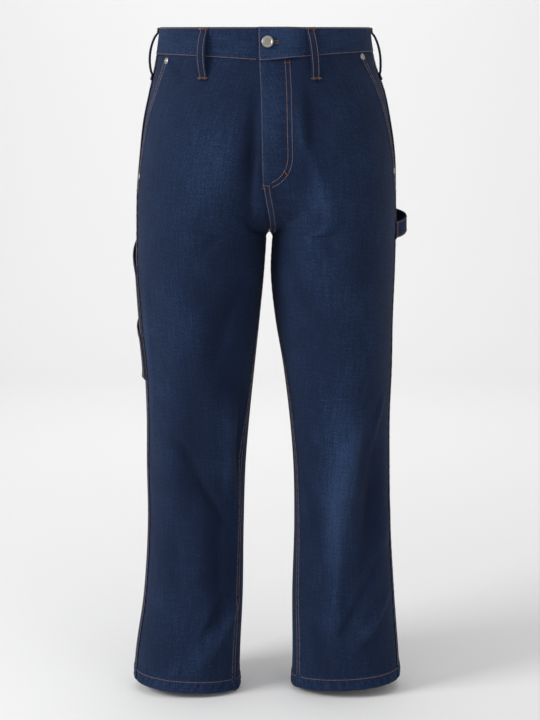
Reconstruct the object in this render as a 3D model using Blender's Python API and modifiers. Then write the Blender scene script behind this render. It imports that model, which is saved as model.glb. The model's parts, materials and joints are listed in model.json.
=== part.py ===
"""Baggy carpenter jeans, filled out as if worn, with nobody in them.

Metres, +Z up. The front faces -Y, and +X is the wearer's left. The origin is the centre of the
waist opening, half way down the waistband. A "drop" is a distance down from the top edge of the
waistband at the side, and an "across" is a distance along the cloth from the centre seam, or
below the crotch from the inseam, towards the side seam.
"""

import math
from collections import namedtuple

import bmesh
import bpy
import numpy as np
from mathutils import Vector

COLLECTION = "baggy_jeans"
DENIM_FINISH = ("raw_indigo_denim", (0.021, 0.034, 0.075), 0.85)
METAL_FINISH = ("nickel_plated_brass", (0.55, 0.54, 0.51), 0.35, 1.0)

RIGHT = -1  # the wearer's right side, at -X
LEFT = 1
FRONT = -1
BACK = 1

# Cloth
DENIM = 0.0013  # one layer
HEM_WALL = 0.0029  # the leg's own cloth turned up twice
HEM_HEIGHT = 0.019
BAND_WALL = 0.0026  # two layers and a stay
SEAM_GAP = 0.0003
LAYER_GAP = 0.0005  # between cloth and the cloth that lies on it

# Waistband
WAIST_TO_ORIGIN = 0.021  # the top edge at the side lies this far above the origin
WAIST_DIP = 0.0625  # the top edge rises this much for each metre towards the back
BAND_FRONT = 0.0463  # height at the front
BAND_BACK = 0.0420
BAND_SIDE = {RIGHT: 0.0385, LEFT: 0.0350}
BAND_NARROWING = 1.5
BAND_PROUD = 0.0009
BAND_UNDERLAP = 0.030  # the lower end runs on this far under the upper one
BAND_EASE = 0.054  # the upper end has come down to the form here

# Crotch
CROTCH_DROP = 0.2915
CROTCH_Y = -0.004
FRONT_CURVE_DROP = 0.200  # the front seam starts to turn under here
BACK_CURVE_DROP = 0.150
CURVE_POWER = 2.3
CROTCH_FILLET = 0.009

# Fly: the left front's edge lies to the right of the centre line
FLY_LAP = 0.0086
FLY_DROP = 0.205  # the right front stops running under the left one here
FLY_SEAM_DROP = 0.285  # the seam has come back to the centre line here
FLY_UNDERLAP = 0.008
FLY_EASE = 0.022
FLY_SEAM_GAP = 0.0008

# Slanted front pockets
POCKET_TOP = 0.061  # in front of the widest line, at the waistband
POCKET_FOOT = 0.031
POCKET_DROP = 0.235
POCKET_BOW = 1.15
FACING_UNDERLAP = 0.012
FACING_FOOT = 0.008  # how far the facing runs on below the pocket's mouth

# Yokes
YOKE_CENTRE_DROP = 0.118
YOKE_SIDE_DROP = 0.085

Section = namedtuple(
    "Section",
    "drop out_right out_left in_right in_left front back side_y crease_front crease_back",
)
# Half widths, inner edges, depths and the creases' share of the way out, at each drop.
SECTIONS = (
    Section(-0.020, 0.1485, 0.1455, 0.007, 0.003, 0.1030, 0.1040, 0.000, 0.03, 0.03),
    Section(0.000, 0.1510, 0.1480, 0.007, 0.003, 0.1045, 0.1065, 0.000, 0.05, 0.05),
    Section(0.049, 0.1580, 0.1558, 0.006, 0.004, 0.1105, 0.1165, 0.002, 0.08, 0.10),
    Section(0.089, 0.1668, 0.1698, 0.004, 0.006, 0.1175, 0.1310, 0.004, 0.14, 0.20),
    Section(0.130, 0.1755, 0.1785, 0.003, 0.007, 0.1220, 0.1430, 0.006, 0.24, 0.30),
    Section(0.180, 0.1815, 0.1855, 0.002, 0.008, 0.1240, 0.1500, 0.007, 0.34, 0.38),
    Section(0.230, 0.1860, 0.1872, 0.001, 0.009, 0.1235, 0.1480, 0.007, 0.43, 0.44),
    Section(0.291, 0.1877, 0.1877, 0.000, 0.010, 0.1215, 0.1370, 0.006, 0.49, 0.48),
    Section(0.345, 0.1885, 0.1868, 0.003, 0.0073, 0.1200, 0.1250, 0.005, 0.50, 0.50),
    Section(0.415, 0.1850, 0.1845, 0.0089, 0.0131, 0.1140, 0.1100, 0.003, 0.50, 0.50),
    Section(0.486, 0.1785, 0.1838, 0.0163, 0.0249, 0.1060, 0.0980, 0.001, 0.50, 0.50),
    Section(0.558, 0.1758, 0.1815, 0.0237, 0.0339, 0.0960, 0.0890, 0.000, 0.50, 0.50),
    Section(0.630, 0.1764, 0.1822, 0.0298, 0.0399, 0.0870, 0.0860, 0.002, 0.50, 0.50),
    Section(0.720, 0.1760, 0.1846, 0.0329, 0.0416, 0.0775, 0.0845, 0.004, 0.50, 0.50),
    Section(0.830, 0.1831, 0.1917, 0.0347, 0.0388, 0.0690, 0.0780, 0.005, 0.50, 0.50),
    Section(0.940, 0.1978, 0.2003, 0.0394, 0.0390, 0.0630, 0.0700, 0.004, 0.50, 0.50),
    Section(0.985, 0.1985, 0.2025, 0.0395, 0.0372, 0.0615, 0.0680, 0.004, 0.50, 0.50),
)
SIDE_POWER = 2.15  # 2 is an ellipse, more is squarer
INNER_POWER = 2.1
SECTION_STEPS = 20
NORMAL_STEP = 0.003

Shift = namedtuple("Shift", "drop right left inseam")
# How far in front of the widest lines the side seams and the inseams run.
SHIFTS = (
    Shift(0.000, 0.000, 0.000, 0.000),
    Shift(0.100, 0.006, 0.006, 0.000),
    Shift(0.211, 0.027, 0.026, 0.000),
    Shift(0.290, 0.038, 0.030, 0.000),
    Shift(0.300, 0.039, 0.030, 0.002),
    Shift(0.400, 0.050, 0.030, 0.018),
    Shift(0.500, 0.050, 0.030, 0.026),
    Shift(0.620, 0.038, 0.029, 0.028),
    Shift(0.980, 0.026, 0.026, 0.026),
)

Rows = namedtuple("Rows", "inner side")
# Below the crotch the rows start level with the seam's low point and then even out.
LEG_ROWS = (
    Rows(0.2945, 0.334),
    Rows(0.3010, 0.349),
    Rows(0.3160, 0.366),
    Rows(0.3400, 0.386),
    Rows(0.3700, 0.409),
    Rows(0.4040, 0.435),
)
LEG_ROW_STEPS = 14  # from the last of those rows down to the hem
HEM_INNER_DROP = {RIGHT: 0.9740, LEFT: 0.9695}
HEM_SIDE_DROP = {RIGHT: 0.9600, LEFT: 0.9575}
CURVE_SIDE_START = {FRONT: 0.185, BACK: 0.125}  # side ends of the rows along the curved seam
CURVE_SIDE_END = 0.317
TOP_STEPS = {FRONT: 6, BACK: 2}
CURVE_STEPS = {FRONT: 8, BACK: 9}
FRONT_COLUMNS = 16
BACK_COLUMNS = 16
COLUMN_CROWDING = 1.25  # over 1, columns lie closer together at the centre
HEM_TURN = 0.002  # the wall thickens over this much

Fold = namedtuple("Fold", "side top top_around bottom bottom_around width depth")
# "around" runs from 0 at the centre seam or inseam, past 1 at the side seam, to 2 at the back.
# A positive depth is a ridge and a negative one is a trough.
FOLDS = (
    Fold(RIGHT, 0.075, 0.060, 0.275, 0.130, 0.014, -0.0065),
    Fold(RIGHT, 0.100, 0.200, 0.280, 0.300, 0.035, 0.0035),
    Fold(LEFT, 0.080, 0.290, 0.240, 0.230, 0.018, -0.0040),
    Fold(LEFT, 0.115, 0.170, 0.275, 0.290, 0.016, 0.0035),
    Fold(RIGHT, 0.340, 0.480, 0.560, 0.270, 0.026, -0.0050),
    Fold(RIGHT, 0.480, 0.520, 0.740, 0.470, 0.024, -0.0055),
    Fold(RIGHT, 0.640, 0.330, 0.880, 0.270, 0.022, -0.0050),
    Fold(RIGHT, 0.780, 0.280, 0.950, 0.440, 0.016, 0.0040),
    Fold(LEFT, 0.450, 0.520, 0.800, 0.440, 0.022, 0.0050),
    Fold(LEFT, 0.520, 0.720, 0.860, 0.600, 0.024, -0.0055),
    Fold(LEFT, 0.690, 0.880, 0.900, 0.450, 0.015, 0.0040),
    Fold(RIGHT, 0.283, 1.720, 0.400, 1.520, 0.024, -0.0045),
    Fold(LEFT, 0.285, 1.740, 0.410, 1.540, 0.024, -0.0045),
    Fold(RIGHT, 0.380, 1.600, 0.560, 1.660, 0.026, -0.0050),
    Fold(LEFT, 0.310, 1.420, 0.540, 1.600, 0.028, -0.0050),
    Fold(RIGHT, 0.540, 1.350, 0.660, 1.700, 0.020, 0.0050),
    Fold(LEFT, 0.560, 1.300, 0.670, 1.660, 0.020, 0.0050),
    Fold(RIGHT, 0.700, 1.600, 0.930, 1.450, 0.026, -0.0050),
    Fold(LEFT, 0.690, 1.550, 0.920, 1.480, 0.026, -0.0050),
)

Loop = namedtuple("Loop", "name side face across lean")
# Each belt loop's place from the centre seam, and how far it leans out over its length.
LOOPS = (
    Loop("loop_front_right", RIGHT, FRONT, 0.084, 0.004),
    Loop("loop_front_left", LEFT, FRONT, 0.063, 0.006),
    Loop("loop_side_right", RIGHT, BACK, None, 0.0),
    Loop("loop_side_left", LEFT, BACK, None, 0.0),
    Loop("loop_back", RIGHT, BACK, 0.0, 0.0),
)
LOOP_WIDTH = 0.0125
LOOP_WALL = 0.0018
LOOP_LENGTH = 0.072
LOOP_BULGE = 0.0088
LOOP_SEAT = 0.0005
LOOP_TOP = 0.001
LOOP_SEWN = 0.10  # share of the length that is sewn down at each end
LOOP_STEPS = 11
LOOP_COLUMNS = 3

BAND_STATIONS = 11
BAND_FRONT_STATIONS = 4  # these are left out at the upper end, for the ones below
BAND_END_STATIONS = (0.057, 0.050, 0.0435, 0.037, 0.031, 0.020, 0.010, 0.000, -0.0086)
BAND_ROWS = 3
YOKE_ROWS = 4
YOKE_COLUMNS = 14
FACING_COLUMNS = 5
EDGE = 0.004  # the facing's last row of the panel's stays this far from its foot
PLACE_TRIES = 8

# Back pockets
PATCH_ACROSS = 0.113
PATCH_DROP = 0.128
PATCH_WIDTH_TOP = 0.150
PATCH_WIDTH_FOOT = 0.128
PATCH_HEIGHT = 0.125
PATCH_POINT = 0.018
PATCH_TILT = 0.10

ToolPatch = namedtuple("ToolPatch", "name mouth_seam mouth_back foot inset width lift gape")
TOOL_PATCHES = (
    ToolPatch("tool_pocket", 0.340, 0.280, 0.505, 0.002, 0.115, LAYER_GAP, 0.0032),
    ToolPatch("tool_pocket_outer", 0.438, 0.405, 0.503, 0.003, 0.112, DENIM + 2 * LAYER_GAP, 0.0),
)

# Hammer loop
STRAP_DROP_FRONT = 0.290
STRAP_DROP_BACK = 0.268
STRAP_WIDTH = 0.024
STRAP_LENGTH = 0.100
STRAP_FRONT = 0.0
STRAP_SEWN = 0.09
STRAP_BULGE = 0.0165
STRAP_WALL = 0.0022
STRAP_ROWS = 3
STRAP_STATIONS = 13

# Metal
METAL_SEAT = 0.0003
CAP_SIDES = 20
BUTTON_RADIUS = 0.0088
BUTTON_ACROSS = 0.004
BUTTON_DROP = 0.0275
BUTTON_PROFILE = (
    (0.36, 0.0), (0.34, 0.0016), (0.90, 0.0020), (1.0, 0.0030), (0.96, 0.0040),
    (0.84, 0.0044), (0.72, 0.0038), (0.30, 0.0036),
)
RIVET_RADIUS = 0.0048
RIVET_PROFILE = ((1.0, 0.0), (1.0, 0.0005), (0.85, 0.0011), (0.5, 0.0015), (0.2, 0.0017))
RIVET_INSET = 0.006
RIVET_DROP_TOP = {RIGHT: 0.0500, LEFT: 0.0445}
RIVET_DROP_FOOT = {RIGHT: 0.2110, LEFT: 0.2035}

TableColumns = namedtuple("TableColumns", "drops values")


def smooth_table(rows):
    """Drops, values and slopes of a table, for a smooth curve through its rows."""
    data = np.array(rows, float)
    drops = data[:, 0]
    slopes = np.gradient(data, drops, axis=0)
    return TableColumns(drops, (data, slopes))


TABLE = smooth_table(SECTIONS)


def section_at(drop):
    """The section's sizes at a drop, on a smooth curve through the table."""
    drops, (data, slopes) = TABLE
    i = int(np.clip(np.searchsorted(drops, drop) - 1, 0, len(drops) - 2))
    span = drops[i + 1] - drops[i]
    t = min(max((drop - drops[i]) / span, 0.0), 1.0)
    value = (
        (2 * t**3 - 3 * t**2 + 1) * data[i]
        + (t**3 - 2 * t**2 + t) * span * slopes[i]
        + (3 * t**2 - 2 * t**3) * data[i + 1]
        + (t**3 - t**2) * span * slopes[i + 1]
    )
    return Section(*value)


def ease(t):
    """0 to 1 with level ends."""
    t = min(max(t, 0.0), 1.0)
    return t * t * (3 - 2 * t)


def waist_drop(y):
    """Drop of the waistband's top edge, which is lower at the front."""
    return -WAIST_DIP * y


def below_crotch(drop):
    return drop > CROTCH_DROP + 1e-6


def seam_y(face):
    """Front and back legs meet at the inseam, half a gap either side of it."""
    return face * CROTCH_Y + SEAM_GAP / 2


def curve_forward(face, drop, depth):
    """How far forward (or back) the centre seam lies at a drop, on its way under the crotch."""
    start = FRONT_CURVE_DROP if face == FRONT else BACK_CURVE_DROP
    share = min(max((drop - start) / (CROTCH_DROP - start), 0.0), 1.0)
    low = seam_y(face)
    return low + (depth - low) * (1 - share**CURVE_POWER) ** (1 / CURVE_POWER)


class HalfSection:
    """One face of one side at one drop: a curve from the centre seam or inseam to the side seam."""

    kept = {}

    def __init__(self, side, face, drop):
        size = section_at(drop)
        out = size.out_left if side == LEFT else size.out_right
        depth = size.front if face == FRONT else size.back
        share = size.crease_front if face == FRONT else size.crease_back
        centre = (size.in_left - size.in_right) / 2
        half_slot = (size.in_left + size.in_right) / 2
        width = out - side * centre
        crease = half_slot + share * (width - half_slot)
        self.points = np.vstack(
            (
                self.inner_run(face, drop, depth, half_slot, crease),
                self.outer_run(face, depth, crease, width, face * size.side_y)[1:],
            )
        )
        self.points[:, 0] = centre + side * (self.points[:, 0] + SEAM_GAP / 2)
        self.points[:, 1] *= face
        steps = np.hypot(*np.diff(self.points, axis=0).T)
        self.across = np.concatenate(([0.0], np.cumsum(steps)))
        self.length = self.across[-1]

    @staticmethod
    def inner_run(face, drop, depth, half_slot, crease):
        """From the centre seam, round the slot between the legs, to the leg's foremost line."""
        low = seam_y(face)
        start = curve_forward(face, drop, depth)
        run = depth - start
        fillet = min(CROTCH_FILLET, run) if run > 0 else 1.0
        below = min(max((drop - CROTCH_DROP) / CROTCH_FILLET, 0.0), 1.0)
        opened = math.sqrt(1 - (1 - below) ** 2)
        t = np.linspace(0, 1, SECTION_STEPS)
        go = np.sin(t * math.pi / 2) ** 2
        y = start + run * go
        q = np.clip((y - low) / (depth - low), 0, 1)
        wall = half_slot + (crease - half_slot) * (1 - (1 - q**INNER_POWER) ** (1 / INNER_POWER))
        ratio = go if run <= CROTCH_FILLET else np.minimum(run * go / fillet, 1.0)
        rounded = np.sqrt(np.clip(1 - (1 - ratio) ** 2, 0, 1))
        return np.column_stack((wall * np.maximum(rounded, opened), y))

    @staticmethod
    def outer_run(face, depth, crease, width, side_y):
        """From the foremost line round to the side seam."""
        t = np.linspace(0, math.pi / 2, SECTION_STEPS + 8)
        power = 2 / SIDE_POWER
        x = crease + (width - crease) * np.sin(t) ** power
        y = side_y + (depth - side_y) * np.clip(np.cos(t), 0, 1) ** power
        return np.column_stack((x, y))

    @classmethod
    def at(cls, side, face, drop):
        key = (side, face, round(drop, 6))
        if key not in cls.kept:
            cls.kept[key] = cls(side, face, drop)
        return cls.kept[key]

    def point(self, across):
        x = np.interp(across, self.across, self.points[:, 0])
        y = np.interp(across, self.across, self.points[:, 1])
        return np.array((x, y))


def fold_offset(side, around, drop, girth):
    """How far the folds push the cloth out at a place."""
    total = 0.0
    for fold in FOLDS:
        if not fold.top < drop < fold.bottom or (fold.side != side and below_crotch(drop)):
            continue
        share = (drop - fold.top) / (fold.bottom - fold.top)
        line = fold.top_around + share * (fold.bottom_around - fold.top_around)
        away = abs(around - line)
        if fold.side != side:
            away = min(around + line, 4 - around - line)
        elif below_crotch(drop):
            away = min(away, 2 - away)
        away *= girth / fold.width
        total += fold.depth * math.exp(-away * away) * math.sin(math.pi * share) ** 0.8
    return total


def form(side, face, across, drop):
    """A point on the cloth's outer surface. Past either end of a face it goes on round the next."""
    half = HalfSection.at(side, face, drop)
    if across < 0:
        if below_crotch(drop):
            return form(side, -face, -across, drop)
        return form(-side, face, -across, drop)
    if across > half.length:
        other = HalfSection.at(side, -face, drop).length
        return form(side, -face, other + half.length - across, drop)
    point = half.point(across)
    share = across / half.length
    push = fold_offset(side, share if face == FRONT else 2 - share, drop, half.length)
    if push:
        ahead = half.point(min(across + NORMAL_STEP, half.length))
        run = ahead - half.point(max(across - NORMAL_STEP, 0.0))
        point = point + np.array((-run[1], run[0])) * side * face * push / np.hypot(*run)
    return np.array((point[0], point[1], WAIST_TO_ORIGIN - drop))


def slid(side, face, across, drop, other):
    """The across at another drop that lies the same share of the way round."""
    length, there = length_at(side, face, drop), length_at(side, face, other)
    if across <= 0:
        return across
    if across >= length:
        return across + there - length
    return across * there / length


def outward(side, face, across, drop, on_seam=False):
    """The cloth's outward direction. At the centre seam it has no part across the seam."""
    if on_seam and abs(drop - CROTCH_DROP) < 1e-5:
        return np.array((0.0, 0.0, -1.0))
    behind = across if on_seam else across - NORMAL_STEP
    along = form(side, face, across + NORMAL_STEP, drop) - form(side, face, behind, drop)
    low, high = drop + NORMAL_STEP, drop - NORMAL_STEP
    down = form(side, face, slid(side, face, across, drop, low), low)
    down -= form(side, face, slid(side, face, across, drop, high), high)
    normal = np.cross(along, down) * side * face
    if on_seam:
        normal[0] = 0.0
    return normal / np.linalg.norm(normal)


def layer(side, face, across, drop, lift=0.0, wall=DENIM, on_seam=False):
    """The outer and inner points of a cloth wall whose outside is lifted off the form."""
    place = form(side, face, across, drop)
    normal = outward(side, face, across, drop, on_seam)
    return place + normal * lift, place + normal * (lift - wall)


def material(name, colour, roughness, metallic=0.0):
    """A Principled material of one colour."""
    made = bpy.data.materials.get(name)
    if made:
        return made
    made = bpy.data.materials.new(name)
    made.use_nodes = True
    shader = made.node_tree.nodes["Principled BSDF"]
    shader.inputs["Base Color"].default_value = (*colour, 1.0)
    shader.inputs["Roughness"].default_value = roughness
    shader.inputs["Metallic"].default_value = metallic
    return made


def place_mesh(name, mesh, finish):
    """A mesh as a named object of the jeans."""
    mesh.materials.append(material(*finish))
    made = bpy.data.objects.new(name, mesh)
    bpy.data.collections[COLLECTION].objects.link(made)
    return made


def cloth_wall(name, rows):
    """A closed wall from rows of (outer, inner) points."""
    bm = bmesh.new()
    sheets = [[[bm.verts.new(pair[k]) for pair in row] for row in rows] for k in (0, 1)]
    down = len(rows)
    wide = len(rows[0])
    for sheet in sheets:
        for i in range(down - 1):
            for j in range(wide - 1):
                quad = (sheet[i][j], sheet[i][j + 1], sheet[i + 1][j + 1], sheet[i + 1][j])
                bm.faces.new(quad)
    edge = [(0, j) for j in range(wide)] + [(i, wide - 1) for i in range(1, down)]
    edge += [(down - 1, j) for j in range(wide - 2, -1, -1)]
    edge += [(i, 0) for i in range(down - 2, 0, -1)]
    for (i, j), (k, n) in zip(edge, edge[1:] + edge[:1]):
        bm.faces.new((sheets[0][i][j], sheets[0][k][n], sheets[1][k][n], sheets[1][i][j]))
    bmesh.ops.recalc_face_normals(bm, faces=bm.faces)
    mesh = bpy.data.meshes.new(name)
    bm.to_mesh(mesh)
    bm.free()
    mesh.shade_smooth()
    return place_mesh(name, mesh, DENIM_FINISH)


def on_table(rows, column, drop):
    """A column of a table at a drop, on straight lines between its rows."""
    return float(np.interp(drop, [row.drop for row in rows], [getattr(row, column) for row in rows]))


def length_at(side, face, drop):
    return HalfSection.at(side, face, drop).length


def band_bottom(side, face, share):
    """Drop of the waistband's lower edge."""
    half = HalfSection.at(side, face, BAND_SIDE[side])
    x, y = half.point(min(max(share, 0.0), 1.0) * half.length)
    middle = BAND_FRONT if face == FRONT else BAND_BACK
    inward = 1 - abs(x - half.points[0][0]) / abs(half.points[-1][0] - half.points[0][0])
    inward = max(inward, 0.0) ** BAND_NARROWING
    return waist_drop(y) + BAND_SIDE[side] + (middle - BAND_SIDE[side]) * inward


def yoke_bottom(share):
    """Drop of the seam between yoke and back leg, from the centre back to the side."""
    return YOKE_CENTRE_DROP + (YOKE_SIDE_DROP - YOKE_CENTRE_DROP) * share


def side_seam(side, face, drop):
    """Across of a face's edge at the side seam."""
    shift = on_table(SHIFTS, "right" if side == RIGHT else "left", drop)
    return length_at(side, face, drop) + face * shift - SEAM_GAP / 2


def pocket_mouth(side, drop):
    """Across of the slanted pocket's edge on the front, or the side seam below it."""
    t = (drop - BAND_SIDE[side]) / (POCKET_DROP - BAND_SIDE[side])
    if t >= 1:
        return side_seam(side, FRONT, drop)
    out = POCKET_FOOT + (POCKET_TOP - POCKET_FOOT) * (1 - max(t, 0.0) ** POCKET_BOW)
    return min(length_at(side, FRONT, drop) - out, side_seam(side, FRONT, drop))


def fly_lap(drop):
    """How far to the right of the centre line the left front's edge lies."""
    return FLY_LAP * (1 - ease((drop - FLY_DROP) / (FLY_SEAM_DROP - FLY_DROP)))


def centre_edge(side, face, drop):
    """Across of a leg panel's edge at the centre seam, or below the crotch at the inseam."""
    if below_crotch(drop):
        shift = on_table(SHIFTS, "inseam", drop)
        return shift if face == FRONT else min(SEAM_GAP, shift) - shift
    if face == BACK:
        return 0.0
    if side == LEFT:
        return -fly_lap(drop)
    under = FLY_UNDERLAP * ease((FLY_DROP - drop) / FLY_EASE)
    lap = fly_lap(drop)
    return lap - under + min(FLY_SEAM_GAP, lap)


def fly_lift(across, drop):
    """How far the left front is raised to lie on the right one."""
    over = ease(1 - (drop - FLY_DROP) / FLY_EASE)
    lapped = FLY_UNDERLAP - FLY_LAP + 0.003
    return over * (DENIM + LAYER_GAP) * (1 - ease((across - lapped) / FLY_EASE))


def panel_rows(face, side, top):
    """Rows of a leg panel: the drops of their ends at the centre and at the side."""
    start = FRONT_CURVE_DROP if face == FRONT else BACK_CURVE_DROP
    side_start = CURVE_SIDE_START[face]
    rows = []
    for t in np.linspace(0, 1, TOP_STEPS[face], endpoint=False):
        inner = top.inner + (start - top.inner) * t
        rows.append(Rows(inner, top.side + (side_start - top.side) * t))
    for t in np.linspace(0, 1, CURVE_STEPS[face]):
        turned = math.sin(t * math.pi / 2) ** (2 / CURVE_POWER)
        inner = start + (CROTCH_DROP - start) * turned
        rows.append(Rows(inner, side_start + (CURVE_SIDE_END - side_start) * t))
    rows.extend(LEG_ROWS)
    last = rows[-1]
    hem = Rows(HEM_INNER_DROP[side], HEM_SIDE_DROP[side])
    above = Rows(hem.inner - HEM_HEIGHT, hem.side - HEM_HEIGHT)
    for t in np.linspace(0, 1, LEG_ROW_STEPS + 1)[1:]:
        rows.append(Rows(last.inner + (above.inner - last.inner) * t, last.side + (above.side - last.side) * t))
    rows.append(Rows(above.inner + HEM_TURN, above.side + HEM_TURN))
    rows.append(hem)
    return rows


def edge_share(side, face, edge, drop_at, share):
    """Where a row meets an edge whose place depends on the drop."""
    for _ in range(5):
        drop = drop_at(min(max(share, 0.0), 1.0))
        share = edge(drop) / length_at(side, face, drop)
    return share


class LegPanel:
    """The lines of a leg's front or back, from its top seam down to the hem."""

    def __init__(self, side, face, top_curve, outer_edge, columns):
        self.side = side
        self.face = face
        rows = panel_rows(face, side, Rows(top_curve(0.0), top_curve(1.0)))
        self.hem_from = len(rows) - 2
        self.lines = []
        self.shares = []
        self.drops = []
        for i, row in enumerate(rows):
            keeps_top = max(0.0, 1 - i / TOP_STEPS[face])

            def drop_at(share, row=row, keeps_top=keeps_top):
                share = min(max(share, 0.0), 1.0)
                straight = rows[0].inner + (rows[0].side - rows[0].inner) * share
                slant = row.inner + (row.side - row.inner) * share
                return slant + keeps_top * (top_curve(share) - straight)

            first = edge_share(side, face, lambda drop: centre_edge(side, face, drop), drop_at, 0.0)
            last = edge_share(side, face, outer_edge, drop_at, 1.0)
            crowded = np.linspace(0, 1, columns + 1) ** COLUMN_CROWDING
            shares = first + (last - first) * crowded
            self.lines.append(drop_at)
            self.shares.append(shares)
            self.drops.append(np.array([drop_at(share) for share in shares]))

    def build(self, name):
        """The panel's wall, thicker at the turned-up hem and raised where it laps at the fly."""
        lapped = (self.side, self.face) == (LEFT, FRONT)
        grid = []
        for i, (shares, drops) in enumerate(zip(self.shares, self.drops)):
            line = []
            for share, drop in zip(shares, drops):
                across = share * length_at(self.side, self.face, drop)
                lift = fly_lift(across, drop) if lapped else 0.0
                wall = HEM_WALL if i >= self.hem_from else DENIM
                seam = abs(share) < 1e-9 and not below_crotch(drop)
                line.append(layer(self.side, self.face, across, drop, lift, wall, seam))
            grid.append(line)
        self.outer = np.array([[pair[0] for pair in line] for line in grid])
        inner = np.array([[pair[1] for pair in line] for line in grid])
        self.normals = (self.outer - inner) / np.linalg.norm(self.outer - inner, axis=2)[..., None]
        return cloth_wall(name, grid)

    @staticmethod
    def blend(grid, row, column):
        """A value between the four that a row number and a column number lie among."""
        i = min(int(row), len(grid) - 2)
        j = min(int(column), len(grid[0]) - 2)
        u, v = row - i, column - j
        upper = grid[i][j] * (1 - v) + grid[i][j + 1] * v
        lower = grid[i + 1][j] * (1 - v) + grid[i + 1][j + 1] * v
        return upper * (1 - u) + lower * u

    def numbers(self, across, drop):
        """The row and column numbers of a place, with parts of a cell as decimals."""
        row, column = len(self.drops) / 2, len(self.drops[0]) / 2
        for _ in range(PLACE_TRIES):
            drops = [self.blend(self.drops, i, column) for i in range(len(self.drops))]
            row = float(np.interp(drop, drops, range(len(drops))))
            share = across / length_at(self.side, self.face, drop)
            shares = [self.blend(self.shares, row, j) for j in range(len(self.shares[0]))]
            column = float(np.interp(share, shares, range(len(shares))))
        return np.array((row, column))

    def patch(self, name, outline, lift):
        """A convex piece that lies on the panel: the panel's own facets inside its outline, moved out.

        outline holds row and column numbers, and lift takes them too.
        """
        low = np.floor(np.min(outline, axis=0)).astype(int)
        high = np.ceil(np.max(outline, axis=0)).astype(int)
        points, faces, seen = [], [], {}
        for i, j in np.ndindex(*(high - low)):
            for triangle in CELL_TRIANGLES:
                corners = [(i + low[0] + u, j + low[1] + v) for u, v in triangle]
                face = []
                for number in clipped(corners, outline):
                    key = tuple(np.round(number, 5))
                    if key not in seen:
                        seen[key] = len(points)
                        place = on_triangle(self.outer, corners, number)
                        normal = on_triangle(self.normals, corners, number)
                        points.append(place + normal * lift(*number))
                    if seen[key] not in face:
                        face.append(seen[key])
                if len(face) > 2:
                    faces.append(face if self.side * self.face > 0 else face[::-1])
        mesh = bpy.data.meshes.new(name)
        mesh.from_pydata(points, [], faces)
        made = place_mesh(name, mesh, DENIM_FINISH)
        wall = made.modifiers.new("wall", "SOLIDIFY")
        wall.thickness = DENIM
        wall.offset = 1
        return made


CELL_TRIANGLES = (((0, 0), (0, 1), (1, 1)), ((0, 0), (1, 1), (1, 0)))


def clipped(corners, outline):
    """The part of a triangle inside a convex outline."""
    polygon = [np.array(corner, float) for corner in corners]
    turn = np.sign(sum(np.cross(a, b) for a, b in zip(outline, outline[1:] + outline[:1])))
    for start, end in zip(outline, outline[1:] + outline[:1]):
        inside = [turn * float(np.cross(end - start, point - start)) for point in polygon]
        kept = []
        for k, (point, now) in enumerate(zip(polygon, inside)):
            before, was = polygon[k - 1], inside[k - 1]
            if was * now < 0:
                kept.append(before + (point - before) * was / (was - now))
            if now >= 0:
                kept.append(point)
        polygon = kept
        if len(polygon) < 3:
            return []
    return polygon


def on_triangle(grid, corners, number):
    """The value at a row and column number, on the flat between a triangle's three corners."""
    a, b, c = (np.array(corner, float) for corner in corners)
    area = np.cross(b - a, c - a)
    second = np.cross(number - a, c - a) / area
    third = np.cross(b - a, number - a) / area
    values = [grid[corner[0]][corner[1]] for corner in corners]
    return values[0] * (1 - second - third) + values[1] * second + values[2] * third


def facing(name, panel):
    """The hip piece that shows in the slanted pocket, on the front panel's own rows."""
    side = panel.side
    foot = POCKET_DROP + FACING_FOOT
    rows = [drops[-1] for drops in panel.drops if drops[-1] < foot - EDGE]
    grid = []
    for down, row_drop in enumerate([*rows, foot]):
        line = []
        for t in np.linspace(0, 1, FACING_COLUMNS):
            drop = row_drop
            for _ in range(4):
                mouth = min(pocket_mouth(side, drop), length_at(side, FRONT, drop) - POCKET_FOOT)
                first = mouth - FACING_UNDERLAP
                across = first + (side_seam(side, FRONT, drop) - first) * t
                share = across / length_at(side, FRONT, drop)
                if down < len(rows):
                    drop = panel.lines[down](share)
            line.append(layer(side, FRONT, across, drop, -(DENIM + LAYER_GAP)))
        grid.append(line)
    return cloth_wall(name, grid)


def yoke(name, side):
    """From the waistband down to the yoke seam, from the centre back to the side seam."""
    grid = []
    for down in np.linspace(0, 1, YOKE_ROWS):
        line = []
        for j in range(YOKE_COLUMNS + 1):
            share = j / YOKE_COLUMNS

            def drop_at(share, down=down):
                top = band_bottom(side, BACK, share) + SEAM_GAP
                return top + (yoke_bottom(share) - SEAM_GAP / 2 - top) * down

            last = edge_share(side, BACK, lambda drop: side_seam(side, BACK, drop), drop_at, 1.0)
            share *= last
            drop = drop_at(min(share, 1.0))
            across = share * length_at(side, BACK, drop)
            line.append(layer(side, BACK, across, drop, on_seam=j == 0))
        grid.append(line)
    return cloth_wall(name, grid)


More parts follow.
